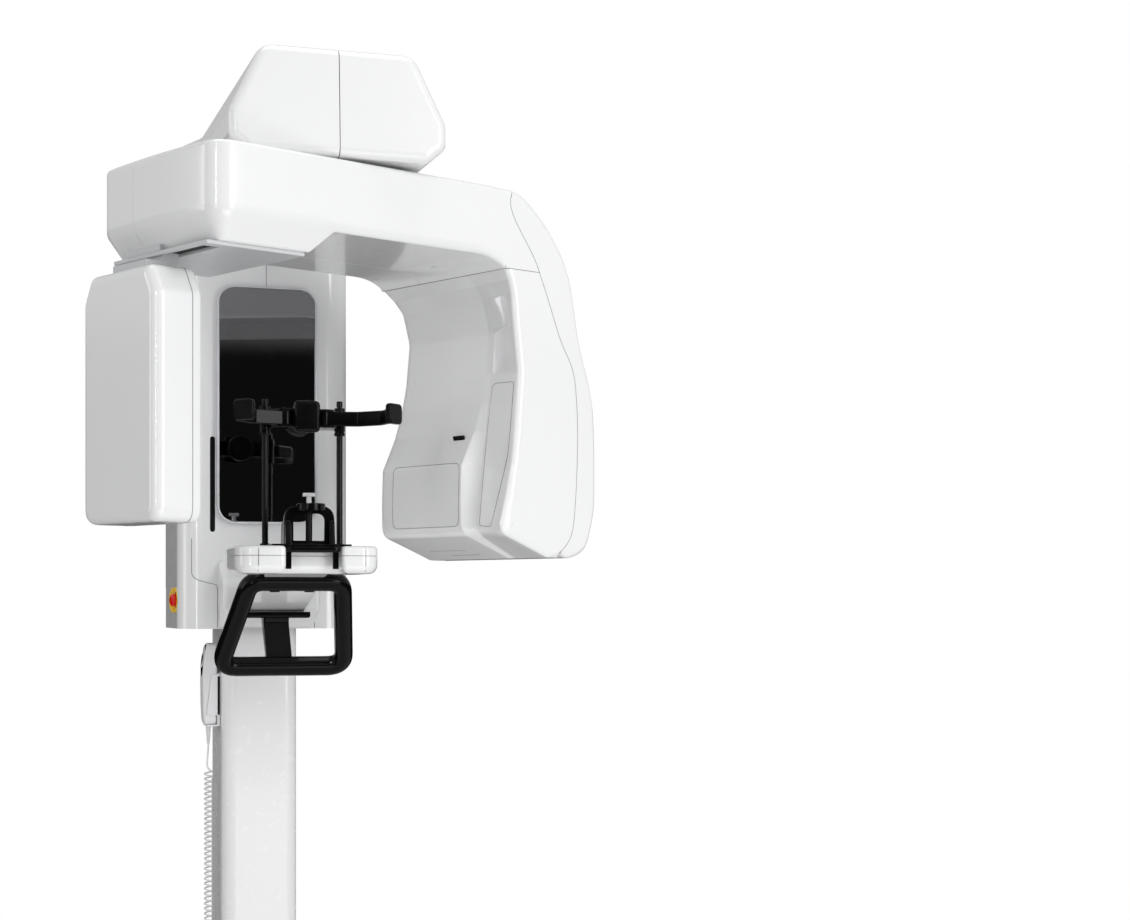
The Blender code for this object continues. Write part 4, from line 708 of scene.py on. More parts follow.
# ---------------------------------------------------------------- emergency stops
# A red mushroom push-button in a yellow dish, one on each side of the carriage, within reach of the
# operator wherever the arm is. The dish snaps into a hole in the shell and is tilted to the front.
yellow_plastic = finish(
    "yellow_plastic", (0.82, 0.55, 0.010), (0.88, 0.62, 0.020), (0.22, 0.30), 900.0, 0.00001, coat=0.3
)
red_plastic = finish(
    "red_plastic", (0.70, 0.008, 0.008), (0.78, 0.014, 0.012), (0.18, 0.26), 900.0, 0.00001, coat=0.3
)
dish_profile = [
    (0.0066, -0.0145),
    (0.0128, -0.0143),
    (0.0142, -0.0138),
    (0.0228, -0.0020),
    (0.0238, -0.0006),
    (0.0246, -0.0006),
    (0.0249, -0.0012),
    (0.0249, -0.0180),
    (0.0110, -0.0200),
    (0.0110, -0.0330),
    (0.0066, -0.0330),
]
push_profile = [
    (0.0, 0.0047),
    (0.0050, 0.0045),
    (0.0094, 0.0038),
    (0.0116, 0.0026),
    (0.0125, 0.0008),
    (0.0126, -0.0080),
    (0.0110, -0.0098),
    (0.0054, -0.0100),
    (0.0054, -0.0300),
    (0.0, -0.0300),
]
stop_tilt = math.radians(-11.0)
stop_proud = 0.0055
mark_inner, mark_outer = 0.0168, 0.0176
for way, word in ((-1, "left"), (1, "right")):
    stop_low, stop_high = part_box("stop_collar_" + word)
    stop_y, stop_z = (stop_low.y + stop_high.y) / 2, (stop_low.z + stop_high.z) / 2
    out = Matrix.Translation((way * (carriage_side + stop_proud), stop_y, stop_z))
    out = out @ Matrix.Rotation(way * stop_tilt, 4, "Z") @ Matrix.Rotation(way * math.pi / 2, 4, "Y")
    dish = lathe("stop_dish", dish_profile, out)
    fit("stop_dish_" + word, dish, yellow_plastic, "carriage", ("stop_collar_" + word,))
    bows = []
    for start in (0.4, 2.5, 4.6):
        turns = [start + 0.09 * i for i in range(13)]
        bow = [(mark_inner * math.cos(a), mark_inner * math.sin(a)) for a in turns]
        bow += [(mark_outer * math.cos(a), mark_outer * math.sin(a)) for a in reversed(turns)]
        bows.append(skin("bow", [[(x, y, z) for x, y in bow] for z in (-0.0110, -0.0086)], out))
    marks = joined("stop_marks_" + word, bows)
    fit("stop_turn_marks_" + word, marks, satin_black, "carriage", rounding=None)
    push = lathe("stop_push", push_profile, out)
    button = "stop_button_" + word
    fit("stop_push_" + word, push, red_plastic, button, (button,))

# ---------------------------------------------------------------- top shelf
# The beam that carries the rotating arm, with its bearing, motor and belt, hidden in two white
# shells that meet on the middle line. Their flanks lean in, and a well in them clears the column.
shelf_low = 1.878
shelf_top = 2.056
shelf_side = 0.180
shelf_front = -0.858
shelf_back = 0.128
flank_turn = -0.210
front_share = 0.706
front_rake = 0.010
cast_alloy = finish(
    "cast_alloy", (0.60, 0.61, 0.62), (0.68, 0.69, 0.70), (0.32, 0.46), 500.0, 0.00010, metallic=1.0
)
belt_rubber = finish(
    "belt_rubber", (0.018, 0.018, 0.018), (0.030, 0.030, 0.030), (0.65, 0.80), 900.0, 0.00015
)
# The shelf's floor plate is dark grey. The dark is partly its own colour and partly painted shade under the
# shelf, above the arm.
underside_and_shade = finish(
    "underside_and_shade", (0.10, 0.10, 0.105), (0.13, 0.13, 0.135), (0.45, 0.60), 900.0, 0.00008
)
carry_over("shelf_floor", underside_and_shade, 0.0006, 1)
carry_over("shelf_beam", ground_steel, 0.0006, 1)
carry_over("bearing_outer_ring", ground_steel, 0.0010)
carry_over("rotation_motor", satin_black, 0.0010)
carry_over("motor_pulley", cast_alloy, 0.0004, 1)
carry_over("drive_belt", belt_rubber, 0.0003, 1)


def eased(low, high, at):
    """How far a value has come from low to high, from 0 to 1, starting and ending gently."""
    t = min(1.0, max(0.0, (at - low) / (high - low)))
    return t * t * (3 - 2 * t)


def shelf_ring(y, shrink):
    """The shelf's outline at one y; its flanks stand straight behind and lean in towards the front."""
    back = eased(flank_turn, 0.0, y)
    top = shelf_side * (front_share + (1 - front_share) * back)
    half = [
        (0.149, shelf_low, 0.003),
        (shelf_side, shelf_low + 0.026, 0.016),
        (shelf_side, shelf_low + 0.066, 0.030),
        (top, shelf_top, 0.036),
    ]
    outline = half + [(-x, z, r) for x, z, r in reversed(half)]
    lean = front_rake * (1 - back) / (shelf_top - shelf_low)
    return [(x, y + lean * (z - shelf_low), z) for x, z in shrunk(outline, shrink, 8)]


back_edge = ((0.0, 0.008), (0.001, 0.005), (0.003, 0.002), (0.008, 0.0))
stations = [(shelf_back - drop, shrink) for drop, shrink in back_edge]
stations += [(0.02 - 0.023 * i, 0.0) for i in range(11)]
stations += [(-0.30 - 0.09 * i, 0.0) for i in range(6)]
stations += [(shelf_front + drop, shrink) for drop, shrink in reversed(edge_steps(0.016, 6))]
shelf_mesh = skin("shelf", [shelf_ring(y, shrink) for y, shrink in stations])


def sliced(mesh, name, point, away):
    """The part of a closed mesh on one side of a plane, with the cut closed."""
    made = bmesh.new()
    made.from_mesh(mesh)
    bmesh.ops.bisect_plane(
        made,
        geom=list(made.verts) + list(made.edges) + list(made.faces),
        dist=0.000001,
        plane_co=point,
        plane_no=away,
        clear_outer=True,
    )
    bmesh.ops.holes_fill(made, edges=[e for e in made.edges if e.is_boundary], sides=0)
    bmesh.ops.recalc_face_normals(made, faces=made.faces)
    kept = bpy.data.meshes.new(name)
    made.to_mesh(kept)
    made.free()
    return kept


def hollowed(mesh, name, hollow):
    """A closed mesh with the hollow's shape taken out of it."""
    whole = bpy.data.objects.new(name + "_whole", mesh)
    tool = bpy.data.objects.new(name + "_hollow", hollow)
    for piece in (whole, tool):
        bpy.context.scene.collection.objects.link(piece)
    cut = whole.modifiers.new("hollow", "BOOLEAN")
    cut.operation = "DIFFERENCE"
    cut.object = tool
    made = bpy.data.meshes.new_from_object(whole.evaluated_get(bpy.context.evaluated_depsgraph_get()))
    for piece in (whole, tool):
        bpy.data.objects.remove(piece)
    made.name = name
    return made


joint_gap = 0.0006
well = oblong(-0.082, -0.086, 0.082, 0.086, 0.006)
column_well = slab("column_well", well, shelf_low - 0.010, shelf_low + 0.076, 0.0, 0.002)
rounding = (0.0008, 2, 50.0)
for way, word in ((-1, "left"), (1, "right")):
    half = sliced(shelf_mesh, "shelf_shell_" + word, (way * joint_gap, 0.0, 0.0), (-way, 0.0, 0.0))
    half = hollowed(half, "shelf_shell_" + word, column_well)
    node = "shelf_cover_" + word
    fit("shelf_shell_" + word, half, white_shell, "carriage", (node,), rounding)

# ---------------------------------------------------------------- table arm and chin table
# A cast arm rises from the low cover to the chin table, with the key strips let into it. The table
# is moulded in an upper and a lower half, with a gap at the front for the chin and bite supports.
table_low, table_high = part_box("chin_table")
carry_over("table_support_arm", white_shell, 0.0035, 4)
carry_over("control_strip", gloss_black, 0.0006)
half_width = table_high.x
front_y, back_y = table_low.y, table_high.y
notch = 0.049
right_lobe = 0.118
outline = [(-half_width, front_y, 0.045), (-notch, front_y, 0.010), (-notch, front_y + 0.044, 0.004)]
outline += [(notch, front_y + 0.044, 0.004), (notch, front_y, 0.010), (right_lobe, front_y, 0.045)]
outline += [(right_lobe, back_y, 0.070), (0.0555, back_y, 0.003), (0.0555, back_y - 0.0605, 0.002)]
outline += [(-0.0555, back_y - 0.0605, 0.002), (-0.0555, back_y, 0.003), (-half_width, back_y, 0.070)]
seam_height = level + 0.0770
seam_half = 0.0004
upper = slab("table_top", outline, seam_height + seam_half, table_high.z, 0.0004, 0.006)
fit("chin_table_top", upper, white_shell, "carriage", ("chin_table",))
lower = slab("table_tray", outline, table_low.z, seam_height - seam_half, 0.0150, 0.0004, LYING, 6)
fit("chin_table_tray", lower, white_shell, "carriage")
lobe_line = [(front_y + 0.016, table_low.z), (front_y + 0.005, table_low.z + 0.004)]
lobe_line += [(front_y, table_low.z + 0.015), (front_y, table_high.z - 0.006)]
lobe_line += [(front_y + 0.006, table_high.z), (back_y - 0.03, table_high.z)]
lobe_seams = [[(x, y, z) for y, z in lobe_line] for x in (-0.0975, 0.0900)]
seam_line("table_seams", lobe_seams, "carriage", 0.0005)

# ---------------------------------------------------------------- chin rest and bite block
# The patient bites the clear peg with the chin over the arch. Both are gloss black mouldings on a
# plate that hooks over the table's edge, and the clear peg lifts out of its ring to be cleaned.
base_low = table_high.z
arch_outer = oblong(-0.0445, base_low, 0.0445, base_low + 0.0715, 0.002, 0.002, 0.026, 0.026)
arch_inner = oblong(-0.0305, base_low + 0.008, 0.0305, base_low + 0.0600, 0.004, 0.004, 0.016, 0.016)


def frame_bar(name, outer, inner, low, high, edge, way):
    """A flat ring between two outlines of equal count, with its edges rounded."""
    rings = []
    for height, shrink in ((low, edge), (low + edge, 0.0), (high - edge, 0.0), (high, edge)):
        rings.append([(x, y, height) for x, y in shrunk(outer, shrink)])
    for height, shrink in ((high, edge), (high - edge, 0.0), (low + edge, 0.0), (low, edge)):
        rings.append([(x, y, height) for x, y in shrunk(inner, -shrink)])
    return skin(name, rings, way, closed=True)


def raised(profile, height):
    """A lathe's profile with its heights counted from that height."""
    return [(radius, height + up) for radius, up in profile]


chin = [frame_bar("arch", arch_outer, arch_inner, 0.580, 0.592, 0.002, FACING)]
wing = [(-0.604, base_low, 0.002), (-0.550, base_low, 0.002)]
wing += [(-0.556, base_low + 0.043, 0.012), (-0.596, base_low + 0.050, 0.012)]
hook = oblong(-0.6190, base_low - 0.0400, -0.6122, base_low + 0.0040, 0.003, 0.003, 0.001, 0.003)
for way in (-1, 1):
    wing_x = sorted((way * 0.0330, way * 0.0438))
    chin.append(slab("wing", wing, *wing_x, 0.0015, 0.0015, SIDEWAYS, 2))
    hook_x = sorted((way * 0.0365, way * 0.0465))
    chin.append(slab("hook", hook, *hook_x, 0.0010, 0.0010, SIDEWAYS, 2))
foot_plate = oblong(-0.070, -0.6185, 0.070, -0.545, 0.003, 0.003, 0.010, 0.010)
chin.append(slab("foot_plate", foot_plate, base_low + 0.0002, base_low + 0.0036, 0.0002, 0.0010, LYING, 2))
tray = oblong(-0.0480, -0.6360, 0.0480, -0.5990, 0.012, 0.012, 0.002, 0.002)
chin.append(slab("tray", tray, base_low - 0.0115, base_low - 0.0015, 0.0040, 0.0015, LYING, 3))
post_place = Matrix.Translation((0.0, -0.586, 0.0))
post = [(0.0, 0.066), (0.0050, 0.066), (0.0058, 0.065), (0.0058, 0.010)]
post += [(0.0085, 0.006), (0.0085, 0.003), (0.0, 0.003)]
chin.append(lathe("post", raised(post, base_low), post_place, 24))
holder_ring = [(0.0180, 0.062), (0.0180, 0.0735), (0.0190, 0.0745), (0.0240, 0.0745)]
holder_ring += [(0.0250, 0.0735), (0.0250, 0.063), (0.0240, 0.062)]
ring_place = Matrix.Translation((0.0, -0.604, 0.0))
chin.append(lathe("holder_ring", raised(holder_ring, base_low), ring_place, 40))
hub = [(0.0, 0.0745), (0.0070, 0.0745), (0.0080, 0.0735), (0.0080, 0.060), (0.0, 0.060)]
chin.append(lathe("hub", raised(hub, base_low), post_place, 24))
fit("chin_arch", joined("chin_arch", chin), gloss_black, "carriage", ("chin_rest_frame",))

clear_plastic = finish(
    "clear_plastic", (0.74, 0.75, 0.76), (0.82, 0.83, 0.84), (0.12, 0.20), 500.0, 0.00004, coat=0.3
)
clear_plastic.node_tree.nodes["Principled BSDF"].inputs["Transmission Weight"].default_value = 0.35
stem = [(0.0, 0.0900), (0.0044, 0.0900), (0.0046, 0.0760), (0.0052, 0.0750), (0.0, 0.0750)]
stem = lathe("stem", raised(stem, base_low), post_place, 24)
bar = oblong(-0.0108, -0.5915, 0.0108, -0.5805, 0.003)
bar = slab("bar", bar, base_low + 0.0875, base_low + 0.0940, 0.0014, 0.0018, LYING, 3)
fit("bite_peg", joined("bite_peg", (stem, bar)), clear_plastic, "carriage", ("bite_block",))

# ---------------------------------------------------------------- support rods
# Two black anodised rods stand in the table and carry the head support. Each has a turned neck and
# a small cap at its top, where the support's clamp is stopped.
black_anodised = finish(
    "black_anodised",
    (0.0040, 0.0040, 0.0046),
    (0.0070, 0.0070, 0.0078),
    (0.20, 0.30),
    900.0,
    0.00002,
    stretch=(1.0, 1.0, 0.1),
    sheen=0.22,
)
for word in ("left", "right"):
    rod_low, rod_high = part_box("support_rod_" + word)
    x, y, _ = (rod_low + rod_high) / 2
    radius = (rod_high.x - rod_low.x) / 2
    foot, head = rod_low.z, rod_high.z + 0.007
    profile = [(0.0, foot), (radius + 0.0035, foot), (radius + 0.0035, foot + 0.005)]
    profile += [(radius + 0.0025, foot + 0.006), (radius, foot + 0.007), (radius, head - 0.016)]
    profile += [(radius - 0.0012, head - 0.015), (radius - 0.0012, head - 0.011), (radius, head - 0.010)]
    profile += [(radius, head - 0.0012), (radius - 0.0012, head), (0.0, head)]
    rod = lathe("rod_" + word, profile, Matrix.Translation((x, y, 0.0)), 32)
    name, node = "head_support_rod_" + word, "support_rod_" + word
    fit(name, rod, black_anodised, "carriage", (node,))

# ---------------------------------------------------------------- patient handle
# A gloss black loop that the patient holds: a steel tube moulded over, on a flat post and a bracket
# screwed under the table's arm. Two screws show at its lower corners.
tube_half = 0.018
mould_shrink = 0.94
squareness = 2.7
top_y, top_z = -0.430, level + 0.035
low_y, low_z = -0.289, level - 0.125
drop = math.hypot(low_y - top_y, low_z - top_z)
flat_loop = [(-0.113, -drop, 0.030), (0.124, -drop, 0.030), (0.092, 0.0, 0.030), (-0.078, 0.0, 0.030)]
flat_loop = rounded(flat_loop, 10)
down_y, down_z = (low_y - top_y) / -drop, (low_z - top_z) / -drop
across_loop = Vector((0.0, down_z, -down_y))
rings = []
for i, (x, v) in enumerate(flat_loop):
    before, after = flat_loop[i - 1], flat_loop[(i + 1) % len(flat_loop)]
    rise = after[1] - before[1]
    along = Vector((after[0] - before[0], rise * down_y, rise * down_z)).normalized()
    outward = along.cross(across_loop)
    centre = Vector((x, top_y + v * down_y, top_z + v * down_z))
    ring = []
    for k in range(24):
        a = math.tau * k / 24
        cosine, sine = math.cos(a), math.sin(a)
        reach = tube_half / (abs(cosine) ** squareness + abs(sine) ** squareness) ** (1 / squareness)
        sideways, upwards = reach * cosine * mould_shrink, reach * sine * mould_shrink
        ring.append(centre + outward * sideways + across_loop * upwards)
    rings.append(ring)
handle = [skin("loop", rings, closed=True)]
under = level - 0.0223
post = [(-0.216, under - 0.004, 0.003), (-0.260, under - 0.004, 0.003), (-0.255, under - 0.020, 0.008)]
post += [(-0.297, level - 0.121, 0.002), (-0.283, level - 0.128, 0.002), (-0.226, under - 0.016, 0.010)]
handle.append(slab("post", post, -0.0245, 0.0245, 0.0035, 0.0035, SIDEWAYS, 3))
bracket = oblong(-0.066, -0.262, 0.066, -0.214, 0.010)
handle.append(slab("bracket", bracket, under - 0.0118, under - 0.0002, 0.0045, 0.0010, LYING, 4))
for x in (-0.032, 0.032):
    tab = oblong(x - 0.009, top_y + 0.003, x + 0.009, top_y + 0.016, 0.003)
    handle.append(slab("tab", tab, top_z - 0.0205, top_z - 0.004, 0.0015, 0.0010, LYING, 2))
handle = joined("handle_loop", handle)
fit("handle_loop", handle, gloss_black, "carriage", ("patient_handle",))
screws = []
screw = [(0.0, 0.0166), (0.0016, 0.0166), (0.0020, 0.0176), (0.0030, 0.0174), (0.0036, 0.0160), (0.0, 0.0150)]
for x in (-0.087, 0.096):
    out = Matrix.Translation((x, low_y, low_z + 0.004)) @ Matrix.Rotation(math.pi / 2, 4, "X")
    screws.append(lathe("screw", screw, out, 20))
fit("handle_screws", joined("handle_screws", screws), ground_steel, "carriage")

# ---------------------------------------------------------------- head support
# A band slides on the two rods and is held by the knob behind it. It carries a soft forehead pad
# and two jointed arms with temple pads, which swing in together to centre the patient's head.
knob_low, knob_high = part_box("clamp_knob")
middle = (knob_low.z + knob_high.z) / 2
rod_x, rod_y = 0.067, -0.525
pivot_x, pivot_y = 0.035, -0.552
plan = [(-0.0600, -0.5050, 0.004), (0.0600, -0.5050, 0.004), (0.0600, -0.5400, 0.010)]
plan += [(0.0470, -0.5636, 0.008), (-0.0470, -0.5636, 0.008), (-0.0600, -0.5400, 0.010)]
band = []
for low, high in ((middle + 0.0122, middle + 0.0164), (middle - 0.0164, middle - 0.0122)):
    band.append(slab("band_cheek", plan, low, high, 0.0008, 0.0012, LYING, 2))
web = oblong(-0.0600, -0.5050, 0.0600, -0.5338, 0.003)
band.append(slab("band_web", web, middle - 0.0150, middle + 0.0150, 0.0008, 0.0008, LYING, 2))
sleeve = [(0.0058, 0.0215), (0.0066, 0.0220), (0.0088, 0.0220), (0.0095, 0.0205), (0.0095, -0.0190)]
sleeve += [(0.0082, -0.0200), (0.0082, -0.0215), (0.0095, -0.0225), (0.0095, -0.0265)]
sleeve += [(0.0085, -0.0280), (0.0058, -0.0280)]
pin = [(0.0, 0.0172), (0.0044, 0.0172), (0.0052, 0.0164), (0.0035, 0.0160), (0.0035, -0.0164), (0.0, -0.0164)]
for way in (-1, 1):
    on_rod = Matrix.Translation((way * rod_x, rod_y, 0.0))
    band.append(lathe("sleeve", raised(sleeve, middle), on_rod, 32))
    on_pivot = Matrix.Translation((way * pivot_x, pivot_y, 0.0))
    band.append(lathe("pin", raised(pin, middle), on_pivot, 24))
band = joined("head_band", band)
fit("head_band", band, gloss_black, "head_support", ("head_support_bridge",))
cushion = oblong(-0.0230, middle - 0.0260, 0.0230, middle + 0.0300, 0.010)
cushion = slab("forehead_cushion", cushion, 0.5643, 0.5760, 0.0010, 0.0060, FACING, 5)
fit("forehead_cushion", cushion, gloss_black, "head_support", ("forehead_pad",))

knob_profile = [(0.0, 0.0205), (0.0120, 0.0208), (0.0220, 0.0218), (0.0250, 0.0214), (0.0268, 0.0195)]
knob_profile += [(0.0270, 0.0170), (0.0270, 0.0040), (0.0262, 0.0026), (0.0180, 0.0002), (0.0, 0.0)]
knob_place = Matrix.Translation((0.0, knob_low.y, middle)) @ Matrix.Rotation(-math.pi / 2, 4, "X")
knob = [lathe("knob", knob_profile, knob_place, 48)]
rib = oblong(0.0262, -0.0011, 0.0270, 0.0011, 0.0005, 0.0004, 0.0004, 0.0005)
ribs = 24
for i in range(ribs):
    spot = knob_place @ Matrix.Rotation(math.tau * i / ribs, 4, "Z")
    knob.append(slab("rib", rib, 0.0045, 0.0165, 0.0002, 0.0002, spot, 1))
knob = joined("clamp_knob_cap", knob)
fit("clamp_knob_cap", knob, satin_black, "clamp_knob", ("clamp_knob",))

bar = [(0.0300, -0.5475), (0.0950, -0.5612), (0.1290, -0.6000), (0.1375, -0.6480), (0.1375, -0.6700)]
bar += [(0.1315, -0.6700), (0.1312, -0.6500), (0.1232, -0.6060), (0.0905, -0.5700), (0.0300, -0.5565)]
boss = [(0.0038, 0.0116), (0.0095, 0.0116), (0.0103, 0.0108), (0.0103, -0.0108)]
boss += [(0.0095, -0.0116), (0.0038, -0.0116)]
# The knuckles of the flexible joint, as (front, back, half height).
knuckles = [(-0.6720, -0.6600, 0.0150), (-0.6585, -0.6500, 0.0142)]
knuckles += [(-0.6485, -0.6410, 0.0134), (-0.6395, -0.6330, 0.0126)]
pad_shape = oblong(-0.0200, -0.0178, 0.0200, 0.0178, 0.009)
pad_turn = math.radians(-46.0)
for way, word in ((-1, "left"), (1, "right")):
    shape = [(way * x, y, 0.006) for x, y in bar]
    temple = [slab("bar", shape, middle - 0.0130, middle + 0.0130, 0.0026, 0.0026, LYING, 3)]
    on_pivot = Matrix.Translation((way * pivot_x, pivot_y, 0.0))
    temple.append(lathe("boss", raised(boss, middle), on_pivot, 32))
    knuckle_x = sorted((way * 0.1245, way * 0.1384))
    for low, high, tall in knuckles:
        knuckle = oblong(low, middle - tall, high, middle + tall, 0.004)
        temple.append(slab("hinge", knuckle, *knuckle_x, 0.0018, 0.0018, SIDEWAYS, 3))
    swung = Matrix.Translation((way * 0.1290, -0.6860, middle))
    swung = swung @ Matrix.Rotation(way * pad_turn, 4, "Z") @ SIDEWAYS
    temple.append(slab("temple_pad", pad_shape, -0.0055, 0.0055, 0.0034, 0.0034, swung, 4))
    temple = joined("temple_bar_" + word, temple)
    node = "temple_arm_" + word
    fit("temple_bar_" + word, temple, gloss_black, node, (node,))

# ---------------------------------------------------------------- rotating arm
# The C-arm turns on a hub under the shelf. A welded steel frame carries it, inside two moulded
# shells that meet on a joint along the arm. Below its side a slanted band runs round the deep end.
# In the arm's own frame u runs along it towards the tube head, y across it, and w up to its top.
arm_axis = (0.0, -0.672, 1.872)
rest_turn = math.radians(24.0)
arm_place = Matrix.Translation(arm_axis) @ Matrix.Rotation(rest_turn, 4, "Z")
arm_side = 0.181
arm_end = -0.325
end_bow = 0.008
end_corner = 0.040
band_top = -0.110
band_slope = 30.0 / 44.0
carry_over("arm_frame", ground_steel, 0.0006, 1)
carry_over("arm_hub", cast_alloy, 0.0010)

# The arm's underside as (u, w) pairs, and its end at the tube head as (w, u) pairs.
underside = [(-0.345, -0.154), (-0.124, -0.154), (-0.120, -0.1515), (-0.092, -0.1225), (-0.088, -0.120)]
for i in range(10):
    turn = math.radians(6.5 * i)
    underside.append((0.205 + 0.0755 * math.sin(turn), -0.120 - 0.040 * (1 - math.cos(turn))))
deep_end, tube_joint = 0.2695, 0.345
underside += [(deep_end, -0.139), (0.400, -0.139)]
tube_end = [(-0.150, 0.3520), (-0.139, 0.3450), (-0.122, 0.3370), (-0.102, 0.3240)]
tube_end += [(-0.078, 0.3060), (-0.058, 0.2915), (-0.043, 0.2830), (-0.030, 0.2785)]
tube_end += [(-0.018, 0.2785), (-0.008, 0.2815), (0.010, 0.2860)]


def band_inset(w):
    """How far the slanted band has come in from the arm's side at one height."""
    fillet = 0.005
    t = band_top - w
    if t < -fillet:
        return 0.0
    return band_slope * (t if t > fillet else (t + fillet) ** 2 / (4 * fillet))


def arm_column(u, y, out):
    """One line down the arm's skin, from its top to its underside; out is the way its side faces."""
    low = between(underside, u)
    flat = eased(0.150, 0.262, u)
    foot = 0.0050 + 0.0050 * flat if u < deep_end else 0.0
    top_edge, upright_to, steps = 0.009, -0.098, 7
    heights = [(-drop, shrink) for drop, shrink in edge_steps(top_edge, 4)]
    heights += [(w, 0.0) for w in (-0.020, -0.030, -0.043, -0.058, -0.078, upright_to)]
    lowest_side = low + foot
    for i in range(1, steps + 1):
        w = upright_to + (lowest_side - upright_to) * i / steps
        heights.append((w, band_inset(w) * (1 - flat)))
    foot_inset = band_inset(lowest_side) * (1 - flat)
    for drop, shrink in reversed(edge_steps(foot, 4)[:-1]):
        slanted = (lowest_side - low - drop) * band_slope * 0.6 * (1 - flat)
        heights.append((low + drop, foot_inset + shrink + slanted))
    placed = []
    for w, shrink in heights:
        pull = eased(0.190, tube_joint, u) * (between(tube_end, w) - tube_joint)
        sag = 0.002 * eased(0.240, tube_joint, u) if w > -top_edge else 0.0
        placed.append((u + pull - out[0] * shrink, y - out[1] * shrink, w - sag))
    return placed


along_arm = [tube_joint, 0.333, 0.321, 0.309, 0.297, 0.284, 0.2700, 0.2690, 0.2625, 0.256, 0.249]
along_arm += [0.241, 0.232, 0.220, 0.205, 0.180, 0.150, 0.110, 0.060, 0.010, -0.040, -0.070, -0.088]
along_arm += [-0.092, -0.099, -0.106, -0.113, -0.120, -0.124, -0.150, -0.190, -0.230, -0.262]
corner_u = arm_end + end_bow * ((arm_side - end_corner) / arm_side) ** 2 + end_corner
sensor_end = []
for i in range(1, 11):
    turn = math.pi / 2 * i / 10
    sine, cosine = math.sin(turn), math.cos(turn)
    y = -(arm_side - end_corner) - end_corner * cosine
    sensor_end.append((corner_u - end_corner * sine, y, (-sine, -cosine)))
for i in range(1, 12):
    y = -(arm_side - end_corner) * (1 - i / 6)
    sensor_end.append((arm_end + end_bow * (y / arm_side) ** 2, y, (-1.0, 0.0)))
sensor_end += [(u, -y, (x, -out)) for u, y, (x, out) in sensor_end[9::-1]]
columns = [arm_column(u, -arm_side, (0.0, -1.0)) for u in along_arm]
columns += [arm_column(*spot) for spot in sensor_end]
columns += [arm_column(u, arm_side, (0.0, 1.0)) for u in reversed(along_arm)]

# The lines are joined side by side, then the top and the underside are closed across the arm.
shell = bmesh.new()
grid = [[shell.verts.new(point) for point in column] for column in columns]
last = len(grid[0]) - 1
for column, other in zip(grid, grid[1:] + grid[:1]):
    for k in range(last):
        shell.faces.new((column[k], column[k + 1], other[k + 1], other[k]))
for k in (0, last):
    for i in range(len(along_arm) - 1):
        shell.faces.new((grid[i][k], grid[i + 1][k], grid[-2 - i][k], grid[-1 - i][k]))
    shell.faces.new([column[k] for column in grid[len(along_arm) - 1 : len(grid) - len(along_arm) + 1]])
bmesh.ops.remove_doubles(shell, verts=shell.verts, dist=0.000002)
bmesh.ops.recalc_face_normals(shell, faces=shell.faces)
arm_mesh = bpy.data.meshes.new("arm_skin")
shell.to_mesh(arm_mesh)
shell.free()
arm_split, seam_half = 0.060, 0.0004
rounding = (0.0006, 2, 60.0)
for way, word in ((1, "front"), (-1, "rear")):
    half = sliced(arm_mesh, "arm_shell_" + word, (0.0, arm_split - way * seam_half, 0.0), (0.0, way, 0.0))
    half.transform(arm_place)
    node = "arm_cover_" + word
    fit("arm_shell_" + word, half, white_shell, "rotating_arm", (node,), rounding)

slits = []
for u, y in ((0.236, 0.150), (0.232, -0.026)):
    slit = oblong(u - 0.0014, y - 0.008, u + 0.0014, y + 0.008, 0.001)
    low = between(underside, u)
    slits.append(slab("slit", slit, low - 0.0003, low + 0.0020, 0.0001, 0.0001, arm_place, 1))
vents = joined("arm_vents", slits)
fit("arm_vents", vents, satin_black, "rotating_arm", rounding=None)

# ---------------------------------------------------------------- sensor track
# A grey moulded plate under the arm's deep end. The sensor head hangs through its slot and slides
# along it. A thin black strip inside the slot is painted shade that darkens the slot.
track_grey = finish("track_grey", (0.56, 0.57, 0.58), (0.62, 0.63, 0.64), (0.30, 0.42), 1300.0, 0.00006)
carry_over("sensor_track_plate", track_grey, 0.0010)
# Painted shade: a thin black strip laid in the slot so that the slot looks dark.
slot_shade = oblong(-0.3050, -0.124, -0.2720, 0.109, 0.001)
slot_shade = slab("track_slot_shade", slot_shade, -0.1546, -0.1538, 0.0002, 0.0002, arm_place, 1)
fit("track_slot_shade", slot_shade, belt_rubber, "rotating_arm", rounding=None)

# ---------------------------------------------------------------- x-ray tube head
# The arm's tall end holds the oil-filled x-ray tube tank. Its front shell curves away from the
# patient's shoulder and bulges where the beam comes out; a second shell closes its back.
carry_over("xray_tube_tank", cast_alloy, 0.0015)
joint_height = -0.1396
# The heights at which the head's three fronts are set, their u at each, and the bend there.
levels = (joint_height, -0.157, -0.180, -0.235, -0.315, -0.367, -0.416, -0.476, -0.539, -0.597)
at_front = (0.2700, 0.2795, 0.2855, 0.291, 0.301, 0.297, 0.293, 0.286, 0.272, 0.256)
by_panel = (0.2720, 0.2900, 0.3040, 0.318, 0.315, 0.306, 0.299, 0.292, 0.286, 0.281)
on_patient = (0.2720, 0.2920, 0.3080, 0.323, 0.315, 0.304, 0.288, 0.260, 0.2580, 0.2590)
bends = (0.0, 0.014, 0.020, 0.040, 0.060, 0.080, 0.050, 0.016, 0.060, 0.026)
bottom, floor_end = -0.641, 0.370
seam = [(0.394, -0.632), (0.421, -0.600), (0.431, -0.537), (0.436, -0.430), (0.433, -0.357)]
seam += [(0.424, -0.305), (0.395, -0.254), (0.366, -0.186), (0.3455, joint_height)]
faces = []
for face in (at_front, by_panel, on_patient):
    corners = [*zip(face, levels, bends), (floor_end, bottom, 0.010), (0.392, bottom, 0.0)]
    faces.append(rounded(corners, 5))
panel_front, panel_back, wall_back = -0.168, -0.086, -0.068


